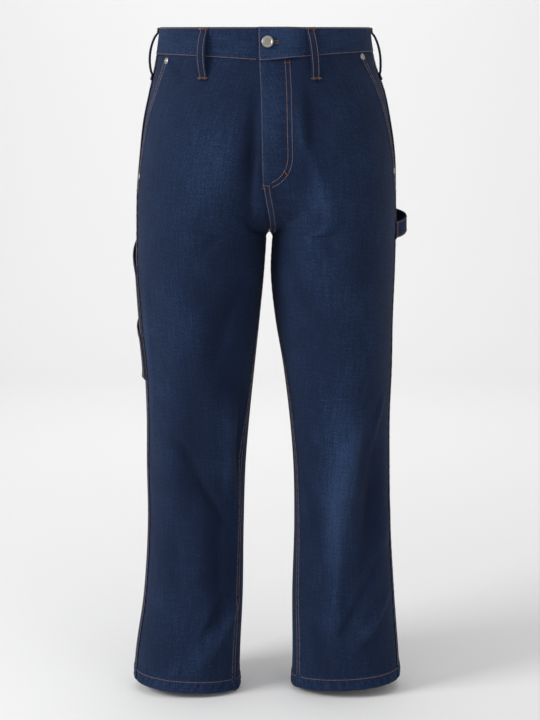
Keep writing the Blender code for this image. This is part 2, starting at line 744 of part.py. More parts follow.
def waistband():
    """One strip from its end under the left front, round the back, to its end on top."""
    around = np.linspace(0, 1, BAND_STATIONS)
    front = length_at(LEFT, FRONT, BAND_SIDE[LEFT] / 2)
    stations = [(LEFT, FRONT, BAND_UNDERLAP * t / front, False) for t in (1.0, 0.5)]
    for side, face, shares in (
        (RIGHT, FRONT, around),
        (RIGHT, BACK, around[::-1][1:]),
        (LEFT, BACK, around[1:-1]),
        (LEFT, FRONT, around[::-1][:-BAND_FRONT_STATIONS]),
    ):
        stations.extend((side, face, share, False) for share in shares)
    stations.extend((LEFT, FRONT, across / front, True) for across in BAND_END_STATIONS)
    grid = [[] for _ in range(BAND_ROWS)]
    for side, face, share, upper in stations:
        lift = BAND_PROUD
        if upper:
            clear = BAND_UNDERLAP + 0.003
            eased = (share * front - clear) / (BAND_EASE - clear)
            lift += (BAND_WALL + LAYER_GAP) * (1 - ease(eased))
        top = waist_drop(form(side, face, share * length_at(side, face, 0.0), 0.0)[1])
        bottom = band_bottom(side, face, share)
        for row, t in zip(grid, np.linspace(0, 1, BAND_ROWS)):
            drop = top + (bottom - top) * t
            across = share * length_at(side, face, drop)
            row.append(layer(side, face, across, drop, lift, BAND_WALL))
    return cloth_wall("waistband", grid)


def belt_loop(loop):
    """A strip sewn down above and below the waistband, standing off it between."""
    grid = []
    for t in np.linspace(0, 1, LOOP_STEPS):
        line = []
        for k in np.linspace(-0.5, 0.5, LOOP_COLUMNS):
            level = length_at(loop.side, loop.face, LOOP_TOP + LOOP_LENGTH * t)
            middle = level if loop.across is None else loop.across
            across = middle + loop.lean * t + k * LOOP_WIDTH
            x, y, _ = form(loop.side, loop.face, across, 0.0)
            drop = waist_drop(y) + LOOP_TOP + LOOP_LENGTH * t
            on_band = 1 - ease((t - LOOP_SEWN) / (0.5 - LOOP_SEWN))
            seat = LOOP_SEAT + BAND_PROUD * on_band
            free = min(max((t - LOOP_SEWN) / (1 - 2 * LOOP_SEWN), 0.0), 1.0)
            out = seat + LOOP_BULGE * math.sin(math.pi * free) ** 0.7
            line.append(layer(loop.side, loop.face, across, drop, out + LOOP_WALL, LOOP_WALL))
        grid.append(line)
    return cloth_wall(loop.name, grid)


def back_pocket(name, panel):
    """A five-sided patch pocket on the seat."""
    top, foot = PATCH_WIDTH_TOP / 2, PATCH_WIDTH_FOOT / 2
    low = PATCH_DROP + PATCH_HEIGHT
    outline = [
        panel.numbers(PATCH_ACROSS - top, PATCH_DROP + top * PATCH_TILT),
        panel.numbers(PATCH_ACROSS - foot, low),
        panel.numbers(PATCH_ACROSS, low + PATCH_POINT),
        panel.numbers(PATCH_ACROSS + foot, low),
        panel.numbers(PATCH_ACROSS + top, PATCH_DROP - top * PATCH_TILT),
    ]
    return panel.patch(name, outline, lambda row, column: LAYER_GAP)


def tool_patch(size, panel):
    """One of the two stacked pockets on the right leg, with a mouth that stands off the leg."""

    def corner(drop, width):
        return panel.numbers(side_seam(RIGHT, BACK, drop) - size.inset - width, drop)

    mouth_seam, mouth_back = corner(size.mouth_seam, 0.0), corner(size.mouth_back, size.width)
    foot_back, foot_seam = corner(size.foot, size.width), corner(size.foot, 0.0)

    def lift(row, column):
        t = (column - mouth_back[1]) / (mouth_seam[1] - mouth_back[1])
        t = min(max(t, 0.0), 1.0)
        mouth = mouth_back[0] + (mouth_seam[0] - mouth_back[0]) * t
        foot = foot_back[0] + (foot_seam[0] - foot_back[0]) * t
        down = min(max((row - mouth) / (foot - mouth), 0.0), 1.0)
        return size.lift + size.gape * (1 - down) ** 6 * math.sin(math.pi * t) ** 0.6

    return panel.patch(size.name, [mouth_seam, mouth_back, foot_back, foot_seam], lift)


def hammer_loop():
    """A strap from the left outseam back to the seat side of the leg, bowed out."""
    grid = []
    for k in np.linspace(-0.5, 0.5, STRAP_ROWS):
        line = []
        for t in np.linspace(0, 1, STRAP_STATIONS):
            drop = STRAP_DROP_FRONT + (STRAP_DROP_BACK - STRAP_DROP_FRONT) * t + k * STRAP_WIDTH
            across = side_seam(LEFT, BACK, drop) - STRAP_LENGTH * t + STRAP_FRONT
            free = min(max((t - STRAP_SEWN) / (1 - 2 * STRAP_SEWN), 0.0), 1.0)
            out = LAYER_GAP + STRAP_BULGE * math.sin(math.pi * free) ** 0.75
            line.append(layer(LEFT, BACK, across, drop, out + STRAP_WALL, STRAP_WALL))
        grid.append(line)
    return cloth_wall("hammer_loop", grid)


def turned_cap(name, radius, profile, side, across, drop, seat):
    """A metal piece turned from a profile of (share of radius, height), set square on the cloth."""
    points = [(0.0, 0.0, profile[-1][1])]
    points += [(share * radius, 0.0, height) for share, height in reversed(profile)]
    points.append((0.0, 0.0, profile[0][1]))
    mesh = bpy.data.meshes.new(name)
    mesh.from_pydata(points, [(i, i + 1) for i in range(len(points) - 1)], [])
    made = place_mesh(name, mesh, METAL_FINISH)
    turn = made.modifiers.new("turn", "SCREW")
    turn.steps = CAP_SIDES
    turn.render_steps = CAP_SIDES
    turn.use_merge_vertices = True
    turn.merge_threshold = 0.0001
    place, _ = layer(side, FRONT, across, drop, seat)
    normal = outward(side, FRONT, across, drop)
    made.location = place
    made.rotation_mode = "QUATERNION"
    made.rotation_quaternion = Vector(normal).to_track_quat("Z", "Y")
    return made


def rivets():
    """A rivet at each end of each slanted pocket's mouth."""
    count = 0
    for side in (RIGHT, LEFT):
        for foot in (False, True):
            count += 1
            drop = RIVET_DROP_FOOT[side] if foot else RIVET_DROP_TOP[side]
            across = pocket_mouth(side, drop) - RIVET_INSET
            turned_cap(f"rivet_{count}", RIVET_RADIUS, RIVET_PROFILE, side, across, drop, METAL_SEAT)


def clear_scene():
    for old in list(bpy.data.objects):
        bpy.data.objects.remove(old)
    group = bpy.data.collections.new(COLLECTION)
    bpy.context.scene.collection.children.link(group)


def main():
    clear_scene()
    backs = {}
    for side, word in ((RIGHT, "right"), (LEFT, "left")):
        front = LegPanel(
            side, FRONT,
            lambda share, side=side: band_bottom(side, FRONT, share) + SEAM_GAP,
            lambda drop, side=side: pocket_mouth(side, drop),
            FRONT_COLUMNS,
        )
        front.build(f"front_{word}")
        facing(f"facing_{word}", front)
        backs[side] = LegPanel(
            side, BACK,
            lambda share: yoke_bottom(share) + SEAM_GAP / 2,
            lambda drop, side=side: side_seam(side, BACK, drop),
            BACK_COLUMNS,
        )
        backs[side].build(f"back_{word}")
        yoke(f"yoke_{word}", side)
        back_pocket(f"back_pocket_{word}", backs[side])
    waistband()
    for loop in LOOPS:
        belt_loop(loop)
    for size in TOOL_PATCHES:
        tool_patch(size, backs[RIGHT])
    hammer_loop()
    seat = BAND_PROUD + BAND_WALL + LAYER_GAP + METAL_SEAT
    turned_cap("waist_button", BUTTON_RADIUS, BUTTON_PROFILE, LEFT, BUTTON_ACROSS, BUTTON_DROP, seat)
    rivets()


main()
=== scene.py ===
"""Baggy carpenter jeans in raw indigo denim, filled out as worn, with nobody in them.

Metres, +Z up. The front faces -Y and +X is the wearer's left. A "drop" is a distance down from
the waistband's top edge at the side. An "across" is a distance along the cloth from the centre
seam, or below the crotch from the inseam, towards the side seam. Every panel, patch, strip and
stitch is placed by an across and a drop on one form, so they all follow the same creases.
"""

from __future__ import annotations

import json
import logging
import math
from dataclasses import dataclass, field
from enum import IntEnum
from typing import Callable, NamedTuple, Sequence

import bpy
import numpy as np
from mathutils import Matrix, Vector

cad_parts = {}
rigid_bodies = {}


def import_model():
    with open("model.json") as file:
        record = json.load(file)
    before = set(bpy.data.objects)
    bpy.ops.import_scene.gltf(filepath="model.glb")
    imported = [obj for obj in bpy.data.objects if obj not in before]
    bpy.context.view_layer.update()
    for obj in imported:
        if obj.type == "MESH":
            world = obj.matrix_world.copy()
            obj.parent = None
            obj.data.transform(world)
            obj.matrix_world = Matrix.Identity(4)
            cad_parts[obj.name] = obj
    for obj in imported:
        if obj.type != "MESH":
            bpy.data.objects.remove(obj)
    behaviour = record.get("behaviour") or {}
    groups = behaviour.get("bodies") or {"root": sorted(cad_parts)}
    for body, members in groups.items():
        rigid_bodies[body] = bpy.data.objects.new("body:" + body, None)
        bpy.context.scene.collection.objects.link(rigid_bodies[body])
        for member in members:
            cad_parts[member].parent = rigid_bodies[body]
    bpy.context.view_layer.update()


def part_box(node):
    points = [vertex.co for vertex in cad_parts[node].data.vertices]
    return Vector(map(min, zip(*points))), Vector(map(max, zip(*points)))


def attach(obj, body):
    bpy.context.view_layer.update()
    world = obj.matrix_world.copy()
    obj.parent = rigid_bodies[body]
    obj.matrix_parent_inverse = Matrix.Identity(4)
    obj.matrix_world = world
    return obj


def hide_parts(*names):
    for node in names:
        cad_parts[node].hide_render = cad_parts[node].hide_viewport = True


LOG = logging.getLogger("jeans")

Line = Callable[[np.ndarray], np.ndarray]


class Side(IntEnum):
    """The wearer's side: its sign is that of X."""

    RIGHT = -1
    LEFT = 1


class Face(IntEnum):
    """The front or the back of the jeans: its sign is that of Y."""

    FRONT = -1
    BACK = 1


DENIM = 0.0013  # one layer of cloth
BAND_WALL = 0.0026
LAYER_GAP = 0.0005
SEAM_GAP = 0.0003
WAIST_TO_ORIGIN = 0.021
WAIST_DIP = 0.0625
BAND_FRONT = 0.0463
BAND_BACK = 0.0420
BAND_SIDE = {Side.RIGHT: 0.0385, Side.LEFT: 0.0350}
BAND_NARROWING = 1.5
BAND_PROUD = 0.0009
BAND_UNDERLAP = 0.030
BAND_EASE = 0.054
BAND_TUCK = 0.004  # how far the pieces below go up into the band's fold
CROTCH_DROP = 0.2915
CROTCH_Y = -0.004
CURVE_DROP = {Face.FRONT: 0.200, Face.BACK: 0.150}
CURVE_POWER = 2.3
CROTCH_FILLET = 0.009
FLY_LAP = 0.0086
FLY_DROP = 0.205
FLY_SEAM_DROP = 0.285
FLY_UNDERLAP = 0.008
FLY_EASE = 0.022
POCKET_TOP = 0.061
POCKET_FOOT = 0.031
POCKET_DROP = 0.235
POCKET_BOW = 1.15
FACING_UNDERLAP = 0.012
FACING_FOOT = 0.008
YOKE_CENTRE_DROP = 0.118
YOKE_SIDE_DROP = 0.085
HEM_HEIGHT = 0.019
HEM_INNER_DROP = {Side.RIGHT: 0.9740, Side.LEFT: 0.9695}
HEM_SIDE_DROP = {Side.RIGHT: 0.9600, Side.LEFT: 0.9575}


class Section(NamedTuple):
    """Half widths, inner edges, depths and the creases' share of the way out, at one drop."""

    drop: float
    out_right: float
    out_left: float
    in_right: float
    in_left: float
    front: float
    back: float
    side_y: float
    crease_front: float
    crease_back: float


SECTIONS = (
    Section(-0.020, 0.1485, 0.1455, 0.007, 0.003, 0.1030, 0.1040, 0.000, 0.03, 0.03),
    Section(0.000, 0.1510, 0.1480, 0.007, 0.003, 0.1045, 0.1065, 0.000, 0.05, 0.05),
    Section(0.049, 0.1580, 0.1558, 0.006, 0.004, 0.1105, 0.1165, 0.002, 0.08, 0.10),
    Section(0.089, 0.1668, 0.1698, 0.004, 0.006, 0.1175, 0.1310, 0.004, 0.14, 0.20),
    Section(0.130, 0.1755, 0.1785, 0.003, 0.007, 0.1220, 0.1430, 0.006, 0.24, 0.30),
    Section(0.180, 0.1815, 0.1855, 0.002, 0.008, 0.1240, 0.1500, 0.007, 0.34, 0.38),
    Section(0.230, 0.1860, 0.1872, 0.001, 0.009, 0.1235, 0.1480, 0.007, 0.43, 0.44),
    Section(0.291, 0.1877, 0.1877, 0.000, 0.010, 0.1215, 0.1370, 0.006, 0.49, 0.48),
    Section(0.345, 0.1885, 0.1868, 0.003, 0.0073, 0.1200, 0.1250, 0.005, 0.50, 0.50),
    Section(0.415, 0.1850, 0.1845, 0.0089, 0.0131, 0.1140, 0.1100, 0.003, 0.50, 0.50),
    Section(0.486, 0.1785, 0.1838, 0.0163, 0.0249, 0.1060, 0.0980, 0.001, 0.50, 0.50),
    Section(0.558, 0.1758, 0.1815, 0.0237, 0.0339, 0.0960, 0.0890, 0.000, 0.50, 0.50),
    Section(0.630, 0.1764, 0.1822, 0.0298, 0.0399, 0.0870, 0.0860, 0.002, 0.50, 0.50),
    Section(0.720, 0.1760, 0.1846, 0.0329, 0.0416, 0.0775, 0.0845, 0.004, 0.50, 0.50),
    Section(0.830, 0.1831, 0.1917, 0.0347, 0.0388, 0.0690, 0.0780, 0.005, 0.50, 0.50),
    Section(0.940, 0.1978, 0.2003, 0.0394, 0.0390, 0.0630, 0.0700, 0.004, 0.50, 0.50),
    Section(0.985, 0.1985, 0.2025, 0.0395, 0.0372, 0.0615, 0.0680, 0.004, 0.50, 0.50),
)
SIDE_POWER = 2.15
INNER_POWER = 2.1
SECTION_STEPS = 26

# How far in front of the widest lines the side seams and the inseams run, at each drop.
SHIFT_DROPS = (0.000, 0.100, 0.211, 0.290, 0.300, 0.400, 0.500, 0.620, 0.980)
SIDE_SHIFT = {
    Side.RIGHT: (0.000, 0.006, 0.027, 0.038, 0.039, 0.050, 0.050, 0.038, 0.026),
    Side.LEFT: (0.000, 0.006, 0.026, 0.030, 0.030, 0.030, 0.030, 0.029, 0.026),
}
INSEAM_SHIFT = (0.000, 0.000, 0.000, 0.000, 0.002, 0.018, 0.026, 0.028, 0.026)


class Crease(NamedTuple):
    """A trough or a ridge. Around runs from 0 at the centre seam past 1 at the side to 2."""

    side: Side
    top: float
    top_around: float
    bottom: float
    bottom_around: float
    width: float
    depth: float
    skew: float = 0.0


R, L = Side.RIGHT, Side.LEFT
MAIN_CREASES = (
    Crease(R, 0.075, 0.060, 0.275, 0.130, 0.014, -0.0065),
    Crease(R, 0.100, 0.200, 0.280, 0.300, 0.035, 0.0035),
    Crease(L, 0.080, 0.290, 0.240, 0.230, 0.018, -0.0040),
    Crease(L, 0.115, 0.170, 0.275, 0.290, 0.016, 0.0035),
    Crease(R, 0.340, 0.480, 0.560, 0.270, 0.026, -0.0050),
    Crease(R, 0.480, 0.520, 0.740, 0.470, 0.024, -0.0055),
    Crease(R, 0.640, 0.330, 0.880, 0.270, 0.022, -0.0050),
    Crease(R, 0.780, 0.280, 0.950, 0.440, 0.016, 0.0040),
    Crease(L, 0.450, 0.520, 0.800, 0.440, 0.022, 0.0050),
    Crease(L, 0.520, 0.720, 0.860, 0.600, 0.024, -0.0055),
    Crease(L, 0.690, 0.880, 0.900, 0.450, 0.015, 0.0040),
    Crease(R, 0.283, 1.720, 0.400, 1.520, 0.024, -0.0045),
    Crease(L, 0.285, 1.740, 0.410, 1.540, 0.024, -0.0045),
    Crease(R, 0.380, 1.600, 0.560, 1.660, 0.026, -0.0050),
    Crease(L, 0.310, 1.420, 0.540, 1.600, 0.028, -0.0050),
    Crease(R, 0.540, 1.350, 0.660, 1.700, 0.020, 0.0050),
    Crease(L, 0.560, 1.300, 0.670, 1.660, 0.020, 0.0050),
    Crease(R, 0.700, 1.600, 0.930, 1.450, 0.026, -0.0050),
    Crease(L, 0.690, 1.550, 0.920, 1.480, 0.026, -0.0050),
)
# Creases that only the dressed cloth has.
FINE_CREASES = (
    Crease(R, 0.088, 0.045, 0.330, 0.120, 0.0065, -0.0045, 0.5),
    Crease(R, 0.120, 0.110, 0.285, 0.120, 0.0080, 0.0026, 0.3),
    Crease(R, 0.040, 0.724, 0.090, 0.420, 0.0045, -0.0022, 0.4),
    Crease(R, 0.330, 0.260, 0.515, 0.440, 0.0150, -0.0042, 0.4),
    Crease(R, 0.500, 0.320, 0.680, 0.262, 0.0090, 0.0044, 0.3),
    Crease(R, 0.490, 0.235, 0.700, 0.135, 0.0130, -0.0052, -0.4),
    Crease(R, 0.570, 0.620, 0.680, 0.360, 0.0100, -0.0046, 0.4),
    Crease(R, 0.612, 0.560, 0.740, 0.190, 0.0110, -0.0056, 0.4),
    Crease(R, 0.600, 0.600, 0.720, 0.300, 0.0090, 0.0030, -0.3),
    Crease(R, 0.690, 0.312, 0.880, 0.291, 0.0140, -0.0048, 0.5),
    Crease(R, 0.826, 0.110, 0.926, 0.370, 0.0110, 0.0044, 0.4),
    Crease(R, 0.812, 0.240, 0.902, 0.440, 0.0090, -0.0040, -0.4),
    Crease(R, 0.330, 0.750, 0.600, 0.780, 0.0120, 0.0026, 0.4),
    Crease(R, 0.250, 0.330, 0.330, 0.480, 0.0100, -0.0022, 0.3),
    Crease(R, 0.700, 0.620, 0.850, 0.560, 0.0120, -0.0024, 0.3),
    Crease(R, 0.905, 0.520, 0.952, 0.560, 0.0080, 0.0022, 0.3),
    Crease(L, 0.062, 0.245, 0.225, 0.196, 0.0085, -0.0040, 0.4),
    Crease(L, 0.130, 0.150, 0.320, 0.380, 0.0075, 0.0034, 0.4),
    Crease(L, 0.540, 0.600, 0.735, 0.450, 0.0130, 0.0062, -0.5),
    Crease(L, 0.660, 0.470, 0.905, 0.420, 0.0120, 0.0054, -0.5),
    Crease(L, 0.520, 0.770, 0.612, 0.640, 0.0055, 0.0034, 0.3),
    Crease(L, 0.740, 0.780, 0.892, 0.410, 0.0100, -0.0050, 0.4),
    Crease(L, 0.815, 0.840, 0.912, 0.490, 0.0100, 0.0042, -0.3),
    Crease(L, 0.580, 0.700, 0.790, 0.610, 0.0160, -0.0040, 0.3),
    Crease(L, 0.300, 0.200, 0.430, 0.420, 0.0130, -0.0030, 0.4),
    Crease(L, 0.245, 0.360, 0.340, 0.500, 0.0100, -0.0022, 0.3),
    Crease(L, 0.620, 0.220, 0.760, 0.330, 0.0120, -0.0028, 0.4),
    Crease(L, 0.850, 0.250, 0.945, 0.330, 0.0100, -0.0028, 0.3),
    Crease(R, 0.300, 1.300, 0.380, 1.460, 0.0100, -0.0032, 0.3),
    Crease(L, 0.300, 1.250, 0.380, 1.420, 0.0100, -0.0032, 0.3),
    Crease(R, 0.500, 1.420, 0.600, 1.760, 0.0110, -0.0048, 0.4),
    Crease(L, 0.510, 1.380, 0.610, 1.740, 0.0110, -0.0048, 0.4),
    Crease(R, 0.580, 1.500, 0.650, 1.740, 0.0090, 0.0036, -0.4),
    Crease(L, 0.600, 1.480, 0.660, 1.720, 0.0090, 0.0036, -0.4),
    Crease(R, 0.640, 1.300, 0.740, 1.680, 0.0110, -0.0046, 0.4),
    Crease(L, 0.650, 1.260, 0.750, 1.640, 0.0110, -0.0046, 0.4),
    Crease(R, 0.790, 1.350, 0.900, 1.600, 0.0110, 0.0042, 0.3),
    Crease(L, 0.780, 1.320, 0.890, 1.560, 0.0110, 0.0042, 0.3),
    Crease(R, 0.840, 1.700, 0.940, 1.480, 0.0100, -0.0038, 0.3),
    Crease(L, 0.850, 1.720, 0.940, 1.500, 0.0100, -0.0038, 0.3),
)


def ease(t: np.ndarray | float) -> np.ndarray:
    """0 to 1 with level ends."""
    t = np.clip(t, 0.0, 1.0)
    return t * t * (3 - 2 * t)


def ripple(along: np.ndarray, pitch: float, seed: float) -> np.ndarray:
    """An uneven wave along a seam, from -1 to 1.

    Args:
        along: Distances along the seam, in metres.
        pitch: The wave's mean length, in metres.
        seed: Any number: each seam has its own.

    Returns:
        The wave's height at each distance.
    """
    turn = 2 * math.pi * np.asarray(along) / pitch
    slow = np.sin(turn * 0.137 + seed * 1.7) + np.sin(turn * 0.071 + seed * 3.1)
    return 0.62 * np.sin(turn + 1.9 * slow + seed) + 0.38 * np.sin(turn * 1.63 - slow + 2.3 * seed)


class SmoothTable:
    """A table whose columns are read off smooth curves through its rows."""

    def __init__(self, rows: Sequence[Section]) -> None:
        """Keeps the rows and the slopes between them."""
        self.data = np.array(rows, float)
        self.drops = self.data[:, 0]
        self.slopes = np.gradient(self.data, self.drops, axis=0)

    def at(self, drop: np.ndarray) -> dict[str, np.ndarray]:
        """Each column's values.

        Args:
            drop: The drops to read the table at.

        Returns:
            The values by column name.
        """
        i = np.clip(np.searchsorted(self.drops, drop) - 1, 0, len(self.drops) - 2)
        span = self.drops[i + 1] - self.drops[i]
        t = np.clip((drop - self.drops[i]) / span, 0, 1)[:, None]
        span = span[:, None]
        value = (
            (2 * t**3 - 3 * t**2 + 1) * self.data[i]
            + (t**3 - 2 * t**2 + t) * span * self.slopes[i]
            + (3 * t**2 - 2 * t**3) * self.data[i + 1]
            + (t**3 - t**2) * span * self.slopes[i + 1]
        )
        return {name: value[:, k] for k, name in enumerate(Section._fields)}


TABLE = SmoothTable(SECTIONS)


class Form:
    """The filled-out surface that all of the cloth lies on."""

    STEP = 0.0015
    CHUNK = 20000

    @staticmethod
    def half_sections(side: Side, face: Face, drop: np.ndarray) -> tuple[np.ndarray, np.ndarray]:
        """The curves from the centre seam or inseam to the side seam.

        Args:
            side: The side.
            face: The face.
            drop: A drop for each curve.

        Returns:
            The curves' points and the distance along each curve at each point.
        """
        size = TABLE.at(drop)
        out = size["out_left"] if side == L else size["out_right"]
        depth = (size["front"] if face == Face.FRONT else size["back"])[:, None]
        share = (size["crease_front"] if face == Face.FRONT else size["crease_back"])[:, None]
        centre = ((size["in_left"] - size["in_right"]) / 2)[:, None]
        half_slot = ((size["in_left"] + size["in_right"]) / 2)[:, None]
        width = out[:, None] - side * centre
        crease = half_slot + share * (width - half_slot)
        low = face * CROTCH_Y + SEAM_GAP / 2
        start_drop = CURVE_DROP[face]
        turned = np.clip((drop - start_drop) / (CROTCH_DROP - start_drop), 0, 1)[:, None]
        start = low + (depth - low) * (1 - turned**CURVE_POWER) ** (1 / CURVE_POWER)
        run = depth - start
        fillet = np.where(run > 0, np.minimum(CROTCH_FILLET, np.maximum(run, 1e-9)), 1.0)
        below = np.clip((drop - CROTCH_DROP) / CROTCH_FILLET, 0, 1)[:, None]
        opened = np.sqrt(1 - (1 - below) ** 2)
        t = np.linspace(0, 1, SECTION_STEPS)[None, :]
        go = np.sin(t * math.pi / 2) ** 2
        y = start + run * go
        q = np.clip((y - low) / (depth - low), 0, 1)
        wall = half_slot + (crease - half_slot) * (1 - (1 - q**INNER_POWER) ** (1 / INNER_POWER))
        ratio = np.where(run <= CROTCH_FILLET, go, np.minimum(run * go / fillet, 1.0))
        rounded = np.sqrt(np.clip(1 - (1 - ratio) ** 2, 0, 1))
        x = wall * np.maximum(rounded, opened)
        t = np.linspace(0, math.pi / 2, SECTION_STEPS + 10)[None, 1:]
        side_y = (face * size["side_y"])[:, None]
        outer_x = crease + (width - crease) * np.sin(t) ** (2 / SIDE_POWER)
        outer_y = side_y + (depth - side_y) * np.clip(np.cos(t), 0, 1) ** (2 / SIDE_POWER)
        x = np.concatenate((x, outer_x), axis=1)
        y = np.concatenate((y, outer_y), axis=1)
        points = np.stack((centre + side * (x + SEAM_GAP / 2), y * face), axis=2)
        steps = np.linalg.norm(np.diff(points, axis=1), axis=2)
        along = np.concatenate((np.zeros((len(drop), 1)), np.cumsum(steps, axis=1)), axis=1)
        return points, along

    @classmethod
    def length(cls, side: Side, face: Face, drop: np.ndarray | float) -> np.ndarray:
        """The distance from the centre seam or inseam to the widest line, at each drop.

        Args:
            side: The side.
            face: The face.
            drop: The drops.

        Returns:
            The distances.
        """
        flat = np.atleast_1d(np.asarray(drop, float))
        known, back = np.unique(np.round(flat, 5), return_inverse=True)
        found = [cls.half_sections(side, face, part)[1][:, -1] for part in cls.parts(known)]
        return np.concatenate(found)[back.reshape(-1)]

    @classmethod
    def parts(cls, values: np.ndarray) -> list[np.ndarray]:
        """The values in runs that are small enough to work out at once."""
        return np.array_split(values, max(1, math.ceil(len(values) / cls.CHUNK)))

    @classmethod
    def place(cls, side: Side, face: Face, across: np.ndarray, drop: np.ndarray) -> np.ndarray:
        """Points on the form. Past either end of a face they go on round the next.

        Args:
            side: The side.
            face: The face.
            across: An across for each point.
            drop: A drop for each point.

        Returns:
            The points, one a row.
        """
        made = np.empty((len(across), 3))
        for part in cls.parts(np.arange(len(across))):
            made[part] = cls.place_part(side, face, across[part], drop[part])
        return made

    @classmethod
    def place_part(cls, side: Side, face: Face, across: np.ndarray, drop: np.ndarray) -> np.ndarray:
        """The work of place for a run of points.

        Args:
            side: The side.
            face: The face.
            across: An across for each point.
            drop: A drop for each point.

        Returns:
            The points, one a row.
        """
        points, along = cls.half_sections(side, face, drop)
        inside = np.clip(across, 0, along[:, -1])
        i = np.clip((along < inside[:, None]).sum(axis=1) - 1, 0, along.shape[1] - 2)
        rows = np.arange(len(across))
        span = along[rows, i + 1] - along[rows, i]
        t = ((inside - along[rows, i]) / np.maximum(span, 1e-12))[:, None]
        flat = points[rows, i] * (1 - t) + points[rows, i + 1] * t
        made = np.column_stack((flat, WAIST_TO_ORIGIN - drop))
        over = across > along[:, -1]
        if over.any():
            other = cls.half_sections(side, Face(-face), drop[over])[1][:, -1]
            beyond = other + along[over, -1] - across[over]
            made[over] = cls.place_part(side, Face(-face), beyond, drop[over])
        under = across < 0
        legs = under & (drop > CROTCH_DROP)
        if legs.any():
            made[legs] = cls.place_part(side, Face(-face), -across[legs], drop[legs])
        hips = under & ~legs
        if hips.any():
            made[hips] = cls.place_part(Side(-side), face, -across[hips], drop[hips])
        return made

    @staticmethod
    def crease_push(side: Side, around: np.ndarray, drop: np.ndarray, girth: np.ndarray) -> np.ndarray:
        """How far the creases push the cloth out.

        Args:
            side: The side.
            around: Each place's share of the way round, from 0 to 2.
            drop: Each place's drop.
            girth: The length of the half section there.

        Returns:
            The push at each place, in metres.
        """
        total = np.zeros(len(drop))
        legs = drop > CROTCH_DROP
        for crease in MAIN_CREASES + FINE_CREASES:
            share = (drop - crease.top) / (crease.bottom - crease.top)
            on = (share > 0) & (share < 1)
            if crease.side != side:
                on &= ~legs
            if not on.any():
                continue
            s = share[on]
            line = crease.top_around + s * (crease.bottom_around - crease.top_around)
            place = around[on]
            if crease.side != side:
                away = np.minimum(place + line, 4 - place - line)
            else:
                away = place - line
                wrapped = np.minimum(np.abs(away), 2 - np.abs(away)) * np.sign(away)
                away = np.where(legs[on], wrapped, away)
            away = away * girth[on] / (crease.width * (1 + crease.skew * np.sign(away)))
            uneven = 1 + 0.22 * np.sin(9 * s + 40 * crease.top_around)
            total[on] += crease.depth * np.exp(-away * away) * np.sin(math.pi * s) ** 0.8 * uneven
        return total

    @classmethod
    def creased(
        cls, side: Side, face: Face, across: np.ndarray, drop: np.ndarray
    ) -> tuple[np.ndarray, np.ndarray, np.ndarray]:
        """Points on the creased cloth, its outward directions before the creases, and their push.

        Args:
            side: The side.
            face: The face.
            across: An across for each point.
            drop: A drop for each point.

        Returns:
            The points, the unit directions and the push.
        """
        across = np.asarray(across, float)
        drop = np.broadcast_to(np.asarray(drop, float), across.shape).copy()
        place = cls.place(side, face, across, drop)
        length = cls.length(side, face, drop)
        ahead = cls.place(side, face, across + cls.STEP, drop)
        behind = cls.place(side, face, across - cls.STEP, drop)
        low = cls.place(side, face, cls.slid(side, face, across, drop, length, cls.STEP), drop + cls.STEP)
        high = cls.place(side, face, cls.slid(side, face, across, drop, length, -cls.STEP), drop - cls.STEP)
        normal = np.cross(ahead - behind, low - high) * side * face
        size = np.linalg.norm(normal, axis=1, keepdims=True)
        normal = normal / np.maximum(size, 1e-12)
        other = cls.length(side, Face(-face), drop)
        share = np.where(across > length, 2 - (other + length - across) / other, across / length)
        around = share if face == Face.FRONT else 2 - share
        same = (across >= 0) | (drop > CROTCH_DROP)
        around = np.where(around < 0, np.where(drop > CROTCH_DROP, -around, around), around)
        push = np.zeros(len(drop))
        push[same] = cls.crease_push(side, around[same] % 2, drop[same], length[same])
        if (~same).any():
            turned = np.where(face == Face.FRONT, -share, 2 + share)[~same]
            push[~same] = cls.crease_push(Side(-side), turned, drop[~same], length[~same])
        return place + normal * push[:, None], normal, push

    @classmethod
    def slid(
        cls, side: Side, face: Face, across: np.ndarray, drop: np.ndarray, length: np.ndarray, step: float
    ) -> np.ndarray:
        """The across a step further down that lies the same share of the way round.

        Args:
            side: The side.
            face: The face.
            across: An across for each point.
            drop: A drop for each point.
            length: The half section's length at each point.
            step: The step down.

        Returns:
            The acrosses there.
        """
        there = cls.length(side, face, drop + step)
        made = across * there / length
        made = np.where(across >= length, across + there - length, made)
        return np.where(across <= 0, across, made)


def band_bottom(side: Side, face: Face, share: np.ndarray) -> np.ndarray:
    """Drop of the waistband's lower edge at a share of the way from the centre to the side.

    Args:
        side: The side.
        face: The face.
        share: The shares.

    Returns:
        The drops.
    """
    share = np.clip(np.asarray(share, float), 0, 1)
    level = np.full(share.shape, BAND_SIDE[side])
    along = share * Form.length(side, face, BAND_SIDE[side])[0]
    place = Form.place(side, face, along, level)
    centre = Form.place(side, face, np.zeros(1), level[:1])[0, 0]
    widest = Form.place(side, face, Form.length(side, face, BAND_SIDE[side]), level[:1])[0, 0]
    inward = np.clip(1 - np.abs(place[:, 0] - centre) / abs(widest - centre), 0, 1) ** BAND_NARROWING
    middle = BAND_FRONT if face == Face.FRONT else BAND_BACK
    return -WAIST_DIP * place[:, 1] + BAND_SIDE[side] + (middle - BAND_SIDE[side]) * inward


def yoke_bottom(share: np.ndarray) -> np.ndarray:
    """Drop of the seam between yoke and back leg."""
    return YOKE_CENTRE_DROP + (YOKE_SIDE_DROP - YOKE_CENTRE_DROP) * np.clip(share, 0, 1)


def side_seam(side: Side, face: Face, drop: np.ndarray) -> np.ndarray:
    """Across of a face's edge at the side seam."""
    shift = np.interp(drop, SHIFT_DROPS, SIDE_SHIFT[side])
    return Form.length(side, face, drop) + face * shift - SEAM_GAP / 2


